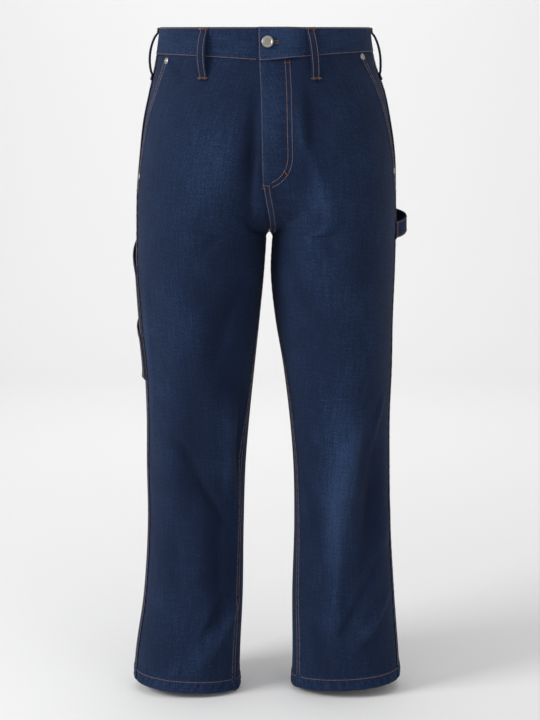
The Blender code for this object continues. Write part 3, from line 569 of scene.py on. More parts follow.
def pocket_mouth(side: Side, drop: np.ndarray) -> np.ndarray:
    """Across of the slanted pocket's edge, or of the side seam below it.

    Args:
        side: The side.
        drop: The drops.

    Returns:
        The acrosses.
    """
    drop = np.atleast_1d(np.asarray(drop, float))
    t = np.clip((drop - BAND_SIDE[side]) / (POCKET_DROP - BAND_SIDE[side]), 0, 1)
    out = POCKET_FOOT + (POCKET_TOP - POCKET_FOOT) * (1 - t**POCKET_BOW)
    seam = side_seam(side, Face.FRONT, drop)
    slanted = np.minimum(Form.length(side, Face.FRONT, drop) - out, seam)
    return np.where(t >= 1, seam, slanted)


def fly_lap(drop: np.ndarray) -> np.ndarray:
    """How far to the right of the centre line the left front's edge lies."""
    return FLY_LAP * (1 - ease((drop - FLY_DROP) / (FLY_SEAM_DROP - FLY_DROP)))


def centre_edge(side: Side, face: Face, drop: np.ndarray) -> np.ndarray:
    """Across of a leg's edge at the centre seam, or below the crotch at the inseam.

    Args:
        side: The side.
        face: The face.
        drop: The drops.

    Returns:
        The acrosses.
    """
    shift = np.interp(drop, SHIFT_DROPS, INSEAM_SHIFT)
    leg = shift if face == Face.FRONT else np.minimum(SEAM_GAP, shift) - shift
    if face == Face.BACK:
        hip = np.zeros_like(drop)
    elif side == L:
        hip = -fly_lap(drop)
    else:
        hip = fly_lap(drop) - FLY_UNDERLAP * ease((FLY_DROP - drop) / FLY_EASE)
    return np.where(drop > CROTCH_DROP + 1e-6, leg, hip)


def fly_lift(across: np.ndarray, drop: np.ndarray) -> np.ndarray:
    """How far the left front is raised to lie on the right one.

    Args:
        across: The acrosses.
        drop: The drops.

    Returns:
        The lifts.
    """
    over = ease(1 - (drop - FLY_DROP) / FLY_EASE)
    lapped = FLY_UNDERLAP - FLY_LAP + 0.003
    return over * (DENIM + LAYER_GAP) * (1 - ease((across - lapped) / FLY_EASE))


def linear(hex_colour: str) -> tuple[float, float, float, float]:
    """An sRGB hex colour as linear RGBA."""
    parts = [int(hex_colour[i : i + 2], 16) / 255 for i in (1, 3, 5)]
    r, g, b = (c / 12.92 if c <= 0.04045 else ((c + 0.055) / 1.055) ** 2.4 for c in parts)
    return r, g, b, 1.0


def add_node(
    tree: bpy.types.NodeTree, kind: str, links: dict | None = None, **settings: object
) -> bpy.types.Node:
    """Adds a node.

    Args:
        tree: The tree that gets the node.
        kind: The node's type name.
        links: Sockets or values by input name or number.
        **settings: The node's own settings.

    Returns:
        The node.
    """
    made = tree.nodes.new(kind)
    for name, value in settings.items():
        setattr(made, name, value)
    for key, value in (links or {}).items():
        socket = made.inputs[key]
        if isinstance(value, bpy.types.NodeSocket):
            tree.links.new(value, socket)
        else:
            socket.default_value = value
    return made


# The colour sockets of a Mix node, which share their names with its number sockets.
MIX_FIRST, MIX_SECOND, MIX_RESULT = 6, 7, 2


def blank_material(name: str) -> tuple[bpy.types.Material, bpy.types.NodeTree, bpy.types.Node]:
    """A material with only its shader and output, its tree, and the shader."""
    made = bpy.data.materials.new(name)
    made.use_nodes = True
    return made, made.node_tree, made.node_tree.nodes["Principled BSDF"]


@dataclass(frozen=True)
class RawDenim:
    """Unwashed indigo twill: deep blue, mottled by its uneven yarns, painted paler on its ridges and seams
    and darker in its crease troughs: painted highlight and painted shade, partly standing for abrasion.

    The twill's wales are 1.6 mm apart, about three times as coarse as on the cloth, and the
    mottling's flecks are 1.3 mm wide, so that both show at the size of the picture.
    """

    name: str = "raw_indigo_denim"
    deep: str = "#070f24"
    indigo: str = "#14223c"
    pale: str = "#33486c"
    wale: float = 0.0016
    wale_angle: float = -28.0
    wave_scale: float = 0.32  # a Wave texture has about three lines to a unit
    fleck: tuple[float, float] = (0.0013, 0.0027)
    slub: tuple[float, float] = (0.0024, 0.035)
    pick: tuple[float, float] = (0.020, 0.0028)
    roughness: float = 0.84
    bump: float = 0.30

    def make(self) -> bpy.types.Material:
        """The material, which reads the piece's UV map (metres across and down) and its painted highlight and
        shade.

        Returns:
            The material.
        """
        made, tree, shader = blank_material(self.name)
        uv = add_node(tree, "ShaderNodeUVMap", uv_map="cloth").outputs[0]
        across_wales = (1 / self.wale, 1 / self.wale, 1.0)
        lines = add_node(
            tree,
            "ShaderNodeMapping",
            {"Vector": uv, "Rotation": (0.0, 0.0, math.radians(self.wale_angle)), "Scale": across_wales},
        )
        wave = add_node(
            tree,
            "ShaderNodeTexWave",
            {
                "Vector": lines.outputs[0], "Scale": self.wave_scale, "Distortion": 1.4,
                "Detail": 2.0, "Detail Scale": 0.8,
            },
        ).outputs["Fac"]
        yarns = []
        for wide, long in (self.fleck, self.slub, self.pick):
            scaled = add_node(tree, "ShaderNodeMapping", {"Vector": uv, "Scale": (1 / wide, 1 / long, 1.0)})
            noise = add_node(
                tree, "ShaderNodeTexNoise", {"Vector": scaled.outputs[0], "Scale": 1.0, "Detail": 2.0}
            )
            yarns.append(noise.outputs["Fac"])
        flecks, slubs, picks = yarns
        position = add_node(tree, "ShaderNodeTexCoord").outputs["Object"]
        cloud = add_node(tree, "ShaderNodeTexNoise", {"Vector": position, "Scale": 13.0, "Detail": 4.0})
        # Painted shade and highlight: the cloth's crease and seam relief, from -1 to 1.
        wear_and_shade = add_node(tree, "ShaderNodeAttribute", attribute_name="wear_and_shade")
        total = None
        for value, low, high, least, most in (
            (flecks, 0.30, 0.70, -0.15, 0.15),
            (slubs, 0.30, 0.70, -0.07, 0.07),
            (picks, 0.30, 0.70, -0.04, 0.04),
            (wave, 0.0, 1.0, -0.06, 0.06),
            (cloud.outputs["Fac"], 0.30, 0.70, -0.07, 0.07),
            # Painted shade in troughs and painted highlight on ridges, partly standing for abrasion, moves
            # the colour far along the ramp.
            (wear_and_shade.outputs["Fac"], -1.0, 1.0, 0.16, 0.72),
        ):
            part = add_node(
                tree,
                "ShaderNodeMapRange",
                {"Value": value, "From Min": low, "From Max": high, "To Min": least, "To Max": most},
            ).outputs[0]
            if total is not None:
                part = add_node(tree, "ShaderNodeMath", {0: total, 1: part}, operation="ADD").outputs[0]
            total = part
        ramp = add_node(tree, "ShaderNodeValToRGB", {"Fac": total})
        stops = ramp.color_ramp.elements
        stops[0].position, stops[0].color = 0.0, linear(self.deep)
        stops[1].position, stops[1].color = 1.0, linear(self.pale)
        stops.new(0.46).color = linear(self.indigo)
        tree.links.new(ramp.outputs["Color"], shader.inputs["Base Color"])
        height = add_node(tree, "ShaderNodeMath", {0: wave, 1: picks}, operation="ADD")
        height = add_node(tree, "ShaderNodeMath", {0: height.outputs[0], 1: flecks}, operation="ADD")
        bump = add_node(tree, "ShaderNodeBump", {"Height": height.outputs[0], "Distance": 0.0008})
        bump.inputs["Strength"].default_value = self.bump
        tree.links.new(bump.outputs[0], shader.inputs["Normal"])
        shader.inputs["Roughness"].default_value = self.roughness
        shader.inputs["Specular IOR Level"].default_value = 0.12
        shader.inputs["Sheen Weight"].default_value = 0.02
        return made


@dataclass(frozen=True)
class DenimInside:
    """The twill's wrong side, where the undyed weft shows: greyer and lighter than the outside."""

    name: str = "raw_indigo_denim_inside"
    weft: str = "#6d7a90"
    warp: str = "#39486a"
    roughness: float = 0.85

    def make(self) -> bpy.types.Material:
        """The material, on the same UV map as the outside."""
        made, tree, shader = blank_material(self.name)
        uv = add_node(tree, "ShaderNodeUVMap", uv_map="cloth").outputs[0]
        scaled = add_node(tree, "ShaderNodeMapping", {"Vector": uv, "Scale": (90.0, 900.0, 1.0)})
        noise = add_node(
            tree, "ShaderNodeTexNoise", {"Vector": scaled.outputs[0], "Scale": 1.0, "Detail": 3.0}
        )
        mixed = add_node(tree, "ShaderNodeMix", {"Factor": noise.outputs["Fac"]}, data_type="RGBA")
        mixed.inputs[MIX_FIRST].default_value = linear(self.warp)
        mixed.inputs[MIX_SECOND].default_value = linear(self.weft)
        tree.links.new(mixed.outputs[MIX_RESULT], shader.inputs["Base Color"])
        bump = add_node(tree, "ShaderNodeBump", {"Height": noise.outputs["Fac"], "Distance": 0.0004})
        bump.inputs["Strength"].default_value = 0.3
        tree.links.new(bump.outputs[0], shader.inputs["Normal"])
        shader.inputs["Roughness"].default_value = self.roughness
        return made


@dataclass(frozen=True)
class CottonThread:
    """Corespun sewing thread, which reads as short matt dashes with a little variation."""

    name: str
    colour: str
    shade: str
    roughness: float = 0.6

    def make(self) -> bpy.types.Material:
        """The material, on Object coordinates."""
        made, tree, shader = blank_material(self.name)
        position = add_node(tree, "ShaderNodeTexCoord").outputs["Object"]
        noise = add_node(tree, "ShaderNodeTexNoise", {"Vector": position, "Scale": 260.0, "Detail": 2.0})
        mixed = add_node(tree, "ShaderNodeMix", {"Factor": noise.outputs["Fac"]}, data_type="RGBA")
        mixed.inputs[MIX_FIRST].default_value = linear(self.colour)
        mixed.inputs[MIX_SECOND].default_value = linear(self.shade)
        tree.links.new(mixed.outputs[MIX_RESULT], shader.inputs["Base Color"])
        shader.inputs["Roughness"].default_value = self.roughness
        return made


@dataclass(frozen=True)
class PlatedBrass:
    """Nickel-plated brass, tumbled after stamping, so its polish is slightly uneven."""

    name: str = "nickel_plated_brass"
    colour: str = "#a39e98"
    roughness: float = 0.34

    def make(self) -> bpy.types.Material:
        """The material, with fine tumbling marks 0.4 mm across."""
        made, tree, shader = blank_material(self.name)
        position = add_node(tree, "ShaderNodeTexCoord").outputs["Object"]
        noise = add_node(tree, "ShaderNodeTexNoise", {"Vector": position, "Scale": 2500.0, "Detail": 2.0})
        spread = add_node(
            tree, "ShaderNodeMapRange",
            {"Value": noise.outputs["Fac"], "To Min": self.roughness - 0.1, "To Max": self.roughness + 0.14},
        )
        tree.links.new(spread.outputs[0], shader.inputs["Roughness"])
        shader.inputs["Base Color"].default_value = linear(self.colour)
        shader.inputs["Metallic"].default_value = 1.0
        return made


@dataclass
class Finishes:
    """All of the materials, made once."""

    denim: bpy.types.Material = field(default_factory=lambda: RawDenim().make())
    denim_inside: bpy.types.Material = field(default_factory=lambda: DenimInside().make())
    thread: bpy.types.Material = field(
        default_factory=lambda: CottonThread("tan_cotton_thread", "#93745f", "#6f5a52").make()
    )
    tack_thread: bpy.types.Material = field(
        default_factory=lambda: CottonThread("copper_cotton_thread", "#a8734e", "#85573c").make()
    )
    metal: bpy.types.Material = field(default_factory=lambda: PlatedBrass().make())


class ClothGrid(NamedTuple):
    """A grid of places on the form, with how far each is lifted off it."""

    side: Side
    face: Face
    across: np.ndarray
    drop: np.ndarray
    lift: np.ndarray


class Cloth(NamedTuple):
    """The grid's points, and how pale each place is painted: 1 on the highest, -1 in the deepest. This is
    painted highlight on ridges and painted shade in troughs, partly standing for the abrasion of raw denim.
    """

    points: np.ndarray
    wear_and_shade: np.ndarray


def lay_cloth(grid: ClothGrid) -> Cloth:
    """The creased, lifted cloth, in the grid's own rows and columns.

    Args:
        grid: The places and their lifts.

    Returns:
        The points and how pale each is painted.
    """
    shape = grid.across.shape
    place, normal, push = Form.creased(grid.side, grid.face, grid.across.ravel(), grid.drop.ravel())
    points = (place + normal * grid.lift.ravel()[:, None]).reshape(*shape, 3)
    # Painted shade and highlight: crease ridges and raised seams and hems are painted paler, troughs and sunk
    # edges darker, partly standing for abrasion of raw denim.
    fine = grid.lift - np.median(grid.lift)
    wear_and_shade = 0.85 * np.tanh(push.reshape(shape) / 0.007) + 0.45 * np.tanh(fine / 0.0012)
    return Cloth(points, wear_and_shade)


def surface_points(grid: ClothGrid) -> np.ndarray:
    """The grid's points on the creased, lifted cloth."""
    return lay_cloth(grid).points


def cloth_object(
    name: str, cloth: Cloth, uv: np.ndarray, outward: int, wall: float, finishes: Finishes
) -> bpy.types.Object:
    """A thin shell of cloth from a grid of outer points.

    Args:
        name: The piece's name.
        cloth: Rows and columns of points and how pale each is painted.
        uv: Metres across and down for each point.
        outward: 1 or -1, whichever turns the faces outwards.
        wall: The cloth's thickness.
        finishes: The materials.

    Returns:
        The object, with its wall made.
    """
    down, wide = cloth.points.shape[:2]
    index = np.arange(down * wide).reshape(down, wide)
    quads = np.stack((index[:-1, :-1], index[:-1, 1:], index[1:, 1:], index[1:, :-1]), axis=2).reshape(-1, 4)
    if outward < 0:
        quads = quads[:, ::-1]
    mesh = bpy.data.meshes.new(name)
    mesh.from_pydata(cloth.points.reshape(-1, 3).tolist(), [], quads.tolist())
    # The painted highlight and shade of creases and seams, kept on the mesh for the denim's colour.
    wear_and_shade_layer = mesh.attributes.new("wear_and_shade", "FLOAT", "POINT")
    wear_and_shade_layer.data.foreach_set("value", cloth.wear_and_shade.astype(np.float32).ravel())
    layer = mesh.uv_layers.new(name="cloth")
    corner = np.empty(len(mesh.loops), np.int32)
    mesh.loops.foreach_get("vertex_index", corner)
    layer.data.foreach_set("uv", uv.reshape(-1, 2)[corner].astype(np.float32).ravel())
    mesh.shade_smooth()
    mesh.materials.append(finishes.denim)
    mesh.materials.append(finishes.denim_inside)
    made = bpy.data.objects.new(name, mesh)
    bpy.context.scene.collection.objects.link(made)
    shell = made.modifiers.new("wall", "SOLIDIFY")
    shell.thickness = wall
    shell.offset = -1
    shell.material_offset = 1
    return made


def seam_raise(away: np.ndarray, width: float = 0.0095, height: float = 0.0008) -> np.ndarray:
    """How far the turned-in layers raise the cloth near a lapped seam's edge.

    Args:
        away: Distances from the edge.
        width: The width of the layers below.
        height: Their thickness.

    Returns:
        The raise at each distance: rolled down at the very edge.
    """
    away = np.maximum(away, 0)
    return height * (1 - ease((away - width) / 0.0035)) * ease((away + 0.0003) / 0.0012)


def spread_columns(width: float, pitch: float) -> np.ndarray:
    """Distances across a panel, close together beside both edges.

    Args:
        width: The panel's width.
        pitch: The distance between columns in the middle.

    Returns:
        The distances, from 0 to the width.
    """
    edge = np.array([0.0, 0.0007, 0.0016, 0.0036, 0.0058, 0.0080, 0.0098, 0.0116, 0.0138])
    middle = np.linspace(0.0138, width - 0.0138, max(3, round((width - 0.0276) / pitch)))
    return np.concatenate((edge[:-1], middle, width - edge[::-1][1:]))


@dataclass
class LegPanel:
    """The front or back of a leg, from its top seam down to the turned-up hem."""

    side: Side
    face: Face
    pitch: float = 0.0042
    finest: float = 0.0040
    tuck: float = 0.0030
    hem_roping: float = 0.0014
    flat: dict[Face, tuple[float, float]] = field(
        default_factory=lambda: {Face.FRONT: (0.31, 0.93), Face.BACK: (0.36, 0.93)}
    )
    area: dict[Face, float] = field(default_factory=lambda: {Face.FRONT: 0.203, Face.BACK: 0.284})

    def top_curve(self, share: np.ndarray) -> np.ndarray:
        """Drop of the panel's top seam."""
        if self.face == Face.FRONT:
            return band_bottom(self.side, self.face, share) - BAND_TUCK
        return yoke_bottom(share) + SEAM_GAP / 2

    def outer_edge(self, drop: np.ndarray) -> np.ndarray:
        """Across of the panel's outer edge."""
        if self.face == Face.FRONT:
            return pocket_mouth(self.side, drop) + self.tuck * ease((drop - POCKET_DROP - 0.002) / 0.012)
        return side_seam(self.side, self.face, drop)

    def inner_edge(self, drop: np.ndarray) -> np.ndarray:
        """Across of the panel's inner edge. A back leg's is tucked under the front at the inseam."""
        edge = centre_edge(self.side, self.face, drop)
        if self.face == Face.BACK:
            edge = edge - self.tuck * ease((drop - CROTCH_DROP - 0.004) / 0.012)
        return edge

    def rows(self) -> np.ndarray:
        """The rows' drops at the centre and at the side, and how much of the top curve each keeps."""
        top = self.top_curve(np.array([0.0, 1.0]))
        start = CURVE_DROP[self.face]
        front = self.face == Face.FRONT
        side_start, top_steps, curve_steps = (0.185, 6, 14) if front else (0.125, 2, 18)
        rows = []
        for k in range(top_steps):
            t = k / top_steps
            rows.append((top[0] + (start - top[0]) * t, top[1] + (side_start - top[1]) * t, 1 - t))
        for t in np.linspace(0, 1, curve_steps):
            turned = math.sin(t * math.pi / 2) ** (2 / CURVE_POWER)
            rows.append((start + (CROTCH_DROP - start) * turned, side_start + (0.317 - side_start) * t, 0.0))
        rows += [(0.2945, 0.334, 0.0), (0.3010, 0.349, 0.0), (0.3160, 0.366, 0.0), (0.3400, 0.386, 0.0)]
        rows += [(0.3700, 0.409, 0.0), (0.4040, 0.435, 0.0)]
        hem = (HEM_INNER_DROP[self.side], HEM_SIDE_DROP[self.side])
        rows.append((hem[0] - HEM_HEIGHT - 0.0015, hem[1] - HEM_HEIGHT - 0.0015, 0.0))
        rows.append((hem[0] - HEM_HEIGHT, hem[1] - HEM_HEIGHT, 0.0))
        rows.append((hem[0] - HEM_HEIGHT + 0.0012, hem[1] - HEM_HEIGHT + 0.0012, 0.0))
        rows.append((hem[0] - 0.0014, hem[1] - 0.0014, 0.0))
        rows.append((hem[0], hem[1], 0.0))
        fine = [np.array(rows[0])]
        for before, after in zip(rows, rows[1:]):
            before, after = np.array(before), np.array(after)
            count = max(1, math.ceil(float(np.max(np.abs(after - before)[:2])) / self.finest))
            fine += [before + (after - before) * (k + 1) / count for k in range(count)]
        return np.array(fine)

    def grid(self) -> ClothGrid:
        """The panel's places, with its seams and hem raised."""
        rows = self.rows()
        top = rows[0]

        def drop_at(share: np.ndarray) -> np.ndarray:
            """The drop of every row at its own share, or shares, of the way round."""
            held = np.clip(share, 0, 1)
            inner, outer, keeps = (rows[:, k].reshape(-1, *[1] * (share.ndim - 1)) for k in range(3))
            curve = self.top_curve(held.ravel()).reshape(share.shape)
            straight = top[0] + (top[1] - top[0]) * held
            return inner + (outer - inner) * held + keeps * (curve - straight)

        ends = []
        for edge, share in ((self.inner_edge, 0.0), (self.outer_edge, 1.0)):
            shares = np.full(len(rows), share)
            for _ in range(6):
                drop = drop_at(shares)
                shares = edge(drop) / Form.length(self.side, self.face, drop)
            ends.append(shares)
        width = float(np.median((ends[1] - ends[0]) * Form.length(self.side, self.face, rows[:, 0])))
        place = spread_columns(width, self.pitch)
        low, high = place, place[-1] - place
        near = np.minimum(low, high) < 0.0139
        drop = drop_at(ends[0][:, None] + (ends[1] - ends[0])[:, None] * (place / width)[None, :])
        length = Form.length(self.side, self.face, drop.ravel()).reshape(drop.shape)
        first, last = ends[0][:, None] * length, ends[1][:, None] * length
        edge_run = 0.0138
        middle = (place - edge_run) / (width - 2 * edge_run)
        across = first + edge_run + (last - first - 2 * edge_run) * middle[None, :]
        across = np.where(near & (low < high), first + low, across)
        across = np.where(near & (low >= high), last - high, across)
        lift = self.lift(across, drop, across - first, last - across)
        return ClothGrid(self.side, self.face, across, drop, lift)

    def lift(self, across: np.ndarray, drop: np.ndarray, inner: np.ndarray, outer: np.ndarray) -> np.ndarray:
        """How far the seams, the hem and the fly raise the cloth, and how they pucker it.

        Args:
            across: The places' acrosses.
            drop: The places' drops.
            inner: Distances from the panel's inner edge.
            outer: Distances from its outer edge.

        Returns:
            The lift at each place.
        """
        front = self.face == Face.FRONT
        legs = drop > CROTCH_DROP
        lap_inner = legs if front else (self.side == L) & ~legs
        if front and self.side == L:
            lap_inner = np.ones_like(legs)
        lap_outer = np.ones_like(legs) if not front else drop < POCKET_DROP
        lift = np.zeros(drop.shape)
        for lapped, away in ((lap_inner, inner), (lap_outer, outer)):
            sunk = -0.0008 * (1 - ease((away - self.tuck) / 0.0016))
            lift = lift + np.where(lapped, seam_raise(away), sunk)
        pucker = 0.00055 * ripple(drop, 0.0125, 3.0 + self.side + 2 * self.face)
        lift = lift + pucker * np.exp(-(((inner - 0.006) / 0.010) ** 2)) * legs
        pucker = 0.00050 * ripple(drop, 0.0135, 7.0 + self.side + 2 * self.face)
        lift = lift + pucker * np.exp(-(((outer - 0.006) / 0.011) ** 2)) * (drop > 0.24)
        if front and self.side == L:
            lift = lift + fly_lift(across, drop) * ease(inner / 0.0012)
            beside = np.exp(-((inner - 0.030) ** 2) / 0.00016) * ~legs
            lift = lift + 0.00045 * ripple(drop, 0.021, 5.0) * beside
        if front:
            mouth = 0.0005 * ripple(drop, 0.016, 9.0 + self.side) * np.exp(-(((outer - 0.005) / 0.009) ** 2))
            lift = lift + mouth * (drop < POCKET_DROP)
        share = across / Form.length(self.side, self.face, drop.ravel()).reshape(drop.shape)
        hem_low, hem_high = HEM_INNER_DROP[self.side], HEM_SIDE_DROP[self.side]
        up = hem_low + (hem_high - hem_low) * np.clip(share, 0, 1) - drop
        on_hem = 1 - ease((up - HEM_HEIGHT + 0.0004) / 0.0012)
        rolled = ease((up + 0.0004) / 0.0016)
        girth = np.where(front, across, -across)
        roping = ripple(girth + 0.55 * up, 0.0125, 1.0 + self.side) * ease(np.minimum(inner, outer) / 0.014)
        swell = np.sin(np.clip(up / HEM_HEIGHT, 0, 1) * math.pi)
        lift = lift + on_hem * (0.0008 * rolled + self.hem_roping * roping * swell)
        above = np.exp(-(((up - HEM_HEIGHT - 0.004) / 0.006) ** 2)) * (1 - on_hem)
        return lift + 0.0006 * roping * above

    def build(self, name: str, finishes: Finishes) -> bpy.types.Object:
        """The panel as a cloth shell.

        Args:
            name: The piece's name.
            finishes: The materials.

        Returns:
            The panel.
        """
        grid = self.grid()
        length = Form.length(self.side, self.face, grid.drop.ravel()).reshape(grid.drop.shape)
        from_side = length - grid.across
        uv = np.stack((from_side * self.side * self.face, -grid.drop), axis=2)
        made = cloth_object(name, lay_cloth(grid), uv, self.side * self.face, DENIM, finishes)
        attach(made, "root")
        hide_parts(name)
        LOG.info("%s: %d quads", name, len(made.data.polygons))
        return made


@dataclass
class Patch:
    """A piece that lies on a face between four edges: a facing, a yoke or a patch pocket."""

    name: str
    side: Side
    face: Face
    top: Line
    foot: Line
    near: Line
    far: Line
    lift: float
    flat: tuple[float, float]
    area: float
    rests_on: tuple[str, ...]
    step: float = 0.0035
    wall: float = DENIM
    edge_raise: float = 0.0005
    mouth_gape: float = 0.0
    mouth_raise: float = 0.0008

    def grid(self) -> ClothGrid:
        """The patch's places. top and foot give drops by the share across, near and far give acrosses."""
        share = np.linspace(0, 1, max(6, round(self.flat[0] / self.step)))
        share = np.unique(np.concatenate((share, [0.008, 0.02, 0.98, 0.992])))
        down = np.linspace(0, 1, max(6, round(self.flat[1] / self.step)))
        down = np.unique(np.concatenate((down, [0.008, 0.02, 0.98, 0.992])))
        top, foot = self.top(share), self.foot(share)
        drop = top[None, :] + (foot - top)[None, :] * down[:, None]
        near = self.near(drop.ravel()).reshape(drop.shape)
        far = self.far(drop.ravel()).reshape(drop.shape)
        across = near + (far - near) * share[None, :]
        edge = np.minimum(across - near, far - across)
        from_top = drop - top[None, :]
        to_foot = foot[None, :] - drop
        lift = np.full(drop.shape, self.lift)
        lift += seam_raise(np.minimum(edge, to_foot), 0.007, self.edge_raise)
        lift += seam_raise(from_top, 0.010, self.mouth_raise)
        gape = np.exp(-((from_top / 0.022) ** 2)) * np.sin(math.pi * share)[None, :] ** 0.6
        lift += self.mouth_gape * gape
        wave = ripple(drop, 0.014, 2.0 + self.lift * 1e3) * np.exp(-((edge / 0.008) ** 2))
        lift += 0.0003 * wave
        return ClothGrid(self.side, self.face, across, drop, lift)

    def build(self, finishes: Finishes) -> bpy.types.Object:
        """The patch as a cloth shell."""
        grid = self.grid()
        uv = np.stack((grid.across * self.side * self.face + 0.37, 0.11 - grid.drop), axis=2)
        made = cloth_object(self.name, lay_cloth(grid), uv, self.side * self.face, self.wall, finishes)
        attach(made, "root")
        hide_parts(self.name)
        LOG.info("%s: %d quads", self.name, len(made.data.polygons))
        return made


def facing(side: Side, name: str) -> Patch:
    """The hip piece that shows in a slanted pocket.

    Args:
        side: The side.
        name: The piece's name.

    Returns:
        The facing.
    """
    foot = POCKET_DROP + FACING_FOOT

    def near(drop: np.ndarray) -> np.ndarray:
        """Just under the front panel's mouth edge."""
        longest = Form.length(side, Face.FRONT, drop) - POCKET_FOOT
        return np.minimum(pocket_mouth(side, drop), longest) - FACING_UNDERLAP

    return Patch(
        name, side, Face.FRONT,
        top=lambda s: band_bottom(side, Face.FRONT, 0.62 + 0.38 * s) - BAND_TUCK,
        foot=lambda s: np.full(s.shape, foot),
        near=near,
        far=lambda d: side_seam(side, Face.FRONT, d),
        lift=-(DENIM + LAYER_GAP), flat=(0.078, 0.210), area=0.0094, rests_on=("waistband",),
        mouth_raise=0.0, edge_raise=0.0,
    )


def yoke(side: Side, name: str) -> Patch:
    """The shaped strip between the waistband and the back leg.

    Args:
        side: The side.
        name: The piece's name.

    Returns:
        The yoke.
    """
    return Patch(
        name, side, Face.BACK,
        top=lambda s: band_bottom(side, Face.BACK, s) - BAND_TUCK,
        foot=lambda s: yoke_bottom(s) - SEAM_GAP / 2,
        near=lambda d: np.zeros(d.shape),
        far=lambda d: side_seam(side, Face.BACK, d),
        lift=0.0, flat=(0.225, 0.090), area=0.0180, rests_on=("waistband",), mouth_raise=0.0,
    )


PATCH_ACROSS = 0.113
PATCH_DROP = 0.128
PATCH_HEIGHT = 0.125
PATCH_POINT = 0.018
PATCH_TILT = 0.10
PATCH_HALF_TOP = 0.075
PATCH_HALF_FOOT = 0.064


def back_pocket_edges(sign: int) -> Line:
    """Across of a back pocket's near (-1) or far (1) edge at each drop.

    Args:
        sign: -1 or 1.

    Returns:
        The edge.
    """

    def edge(drop: np.ndarray) -> np.ndarray:
        """The tapering edge."""
        down = np.clip((drop - PATCH_DROP) / PATCH_HEIGHT, -0.1, 1)
        return PATCH_ACROSS + sign * (PATCH_HALF_TOP + (PATCH_HALF_FOOT - PATCH_HALF_TOP) * down)

    return edge


def back_pocket_foot(share: np.ndarray) -> np.ndarray:
    """Drop of a back pocket's pointed lower edge."""
    return PATCH_DROP + PATCH_HEIGHT + PATCH_POINT * (1 - np.abs(2 * share - 1))


def back_pocket_top(share: np.ndarray) -> np.ndarray:
    """Drop of a back pocket's mouth, which lies along the yoke seam."""
    return PATCH_DROP + PATCH_HALF_TOP * PATCH_TILT * (1 - 2 * share)


def back_pocket(side: Side, name: str, leg: str) -> Patch:
    """A five-sided patch pocket on the seat.

    Args:
        side: The side.
        name: The piece's name.
        leg: The back leg that it is sewn to.

    Returns:
        The pocket.
    """
    return Patch(
        name, side, Face.BACK, top=back_pocket_top, foot=back_pocket_foot,
        near=back_pocket_edges(-1), far=back_pocket_edges(1),
        lift=DENIM + LAYER_GAP, flat=(0.150, 0.150), area=0.0195, rests_on=(leg,),
    )


class ToolSize(NamedTuple):
    """Where one of the stacked tool pockets lies on the right back leg."""

    name: str
    mouth_seam: float
    mouth_back: float
    foot: float
    inset: float
    width: float
    lift: float
    gape: float


TOOL_SIZES = (
    ToolSize("tool_pocket", 0.340, 0.280, 0.505, 0.002, 0.115, DENIM + LAYER_GAP, 0.0032),
    ToolSize("tool_pocket_outer", 0.438, 0.405, 0.503, 0.003, 0.112, 2 * (DENIM + LAYER_GAP), 0.0004),
)


def tool_pocket(size: ToolSize) -> Patch:
    """One of the two stacked pockets on the right leg.

    Args:
        size: The pocket's place and size.

    Returns:
        The pocket.
    """
    return Patch(
        size.name, R, Face.BACK,
        top=lambda s: size.mouth_back + (size.mouth_seam - size.mouth_back) * s,
        foot=lambda s: np.full(s.shape, size.foot),
        near=lambda d: side_seam(R, Face.BACK, d) - size.inset - size.width,
        far=lambda d: side_seam(R, Face.BACK, d) - size.inset,
        lift=size.lift, flat=(size.width, size.foot - size.mouth_back),
        area=size.width * (size.foot - (size.mouth_back + size.mouth_seam) / 2),
        rests_on=("back_right",), mouth_gape=size.gape,
    )


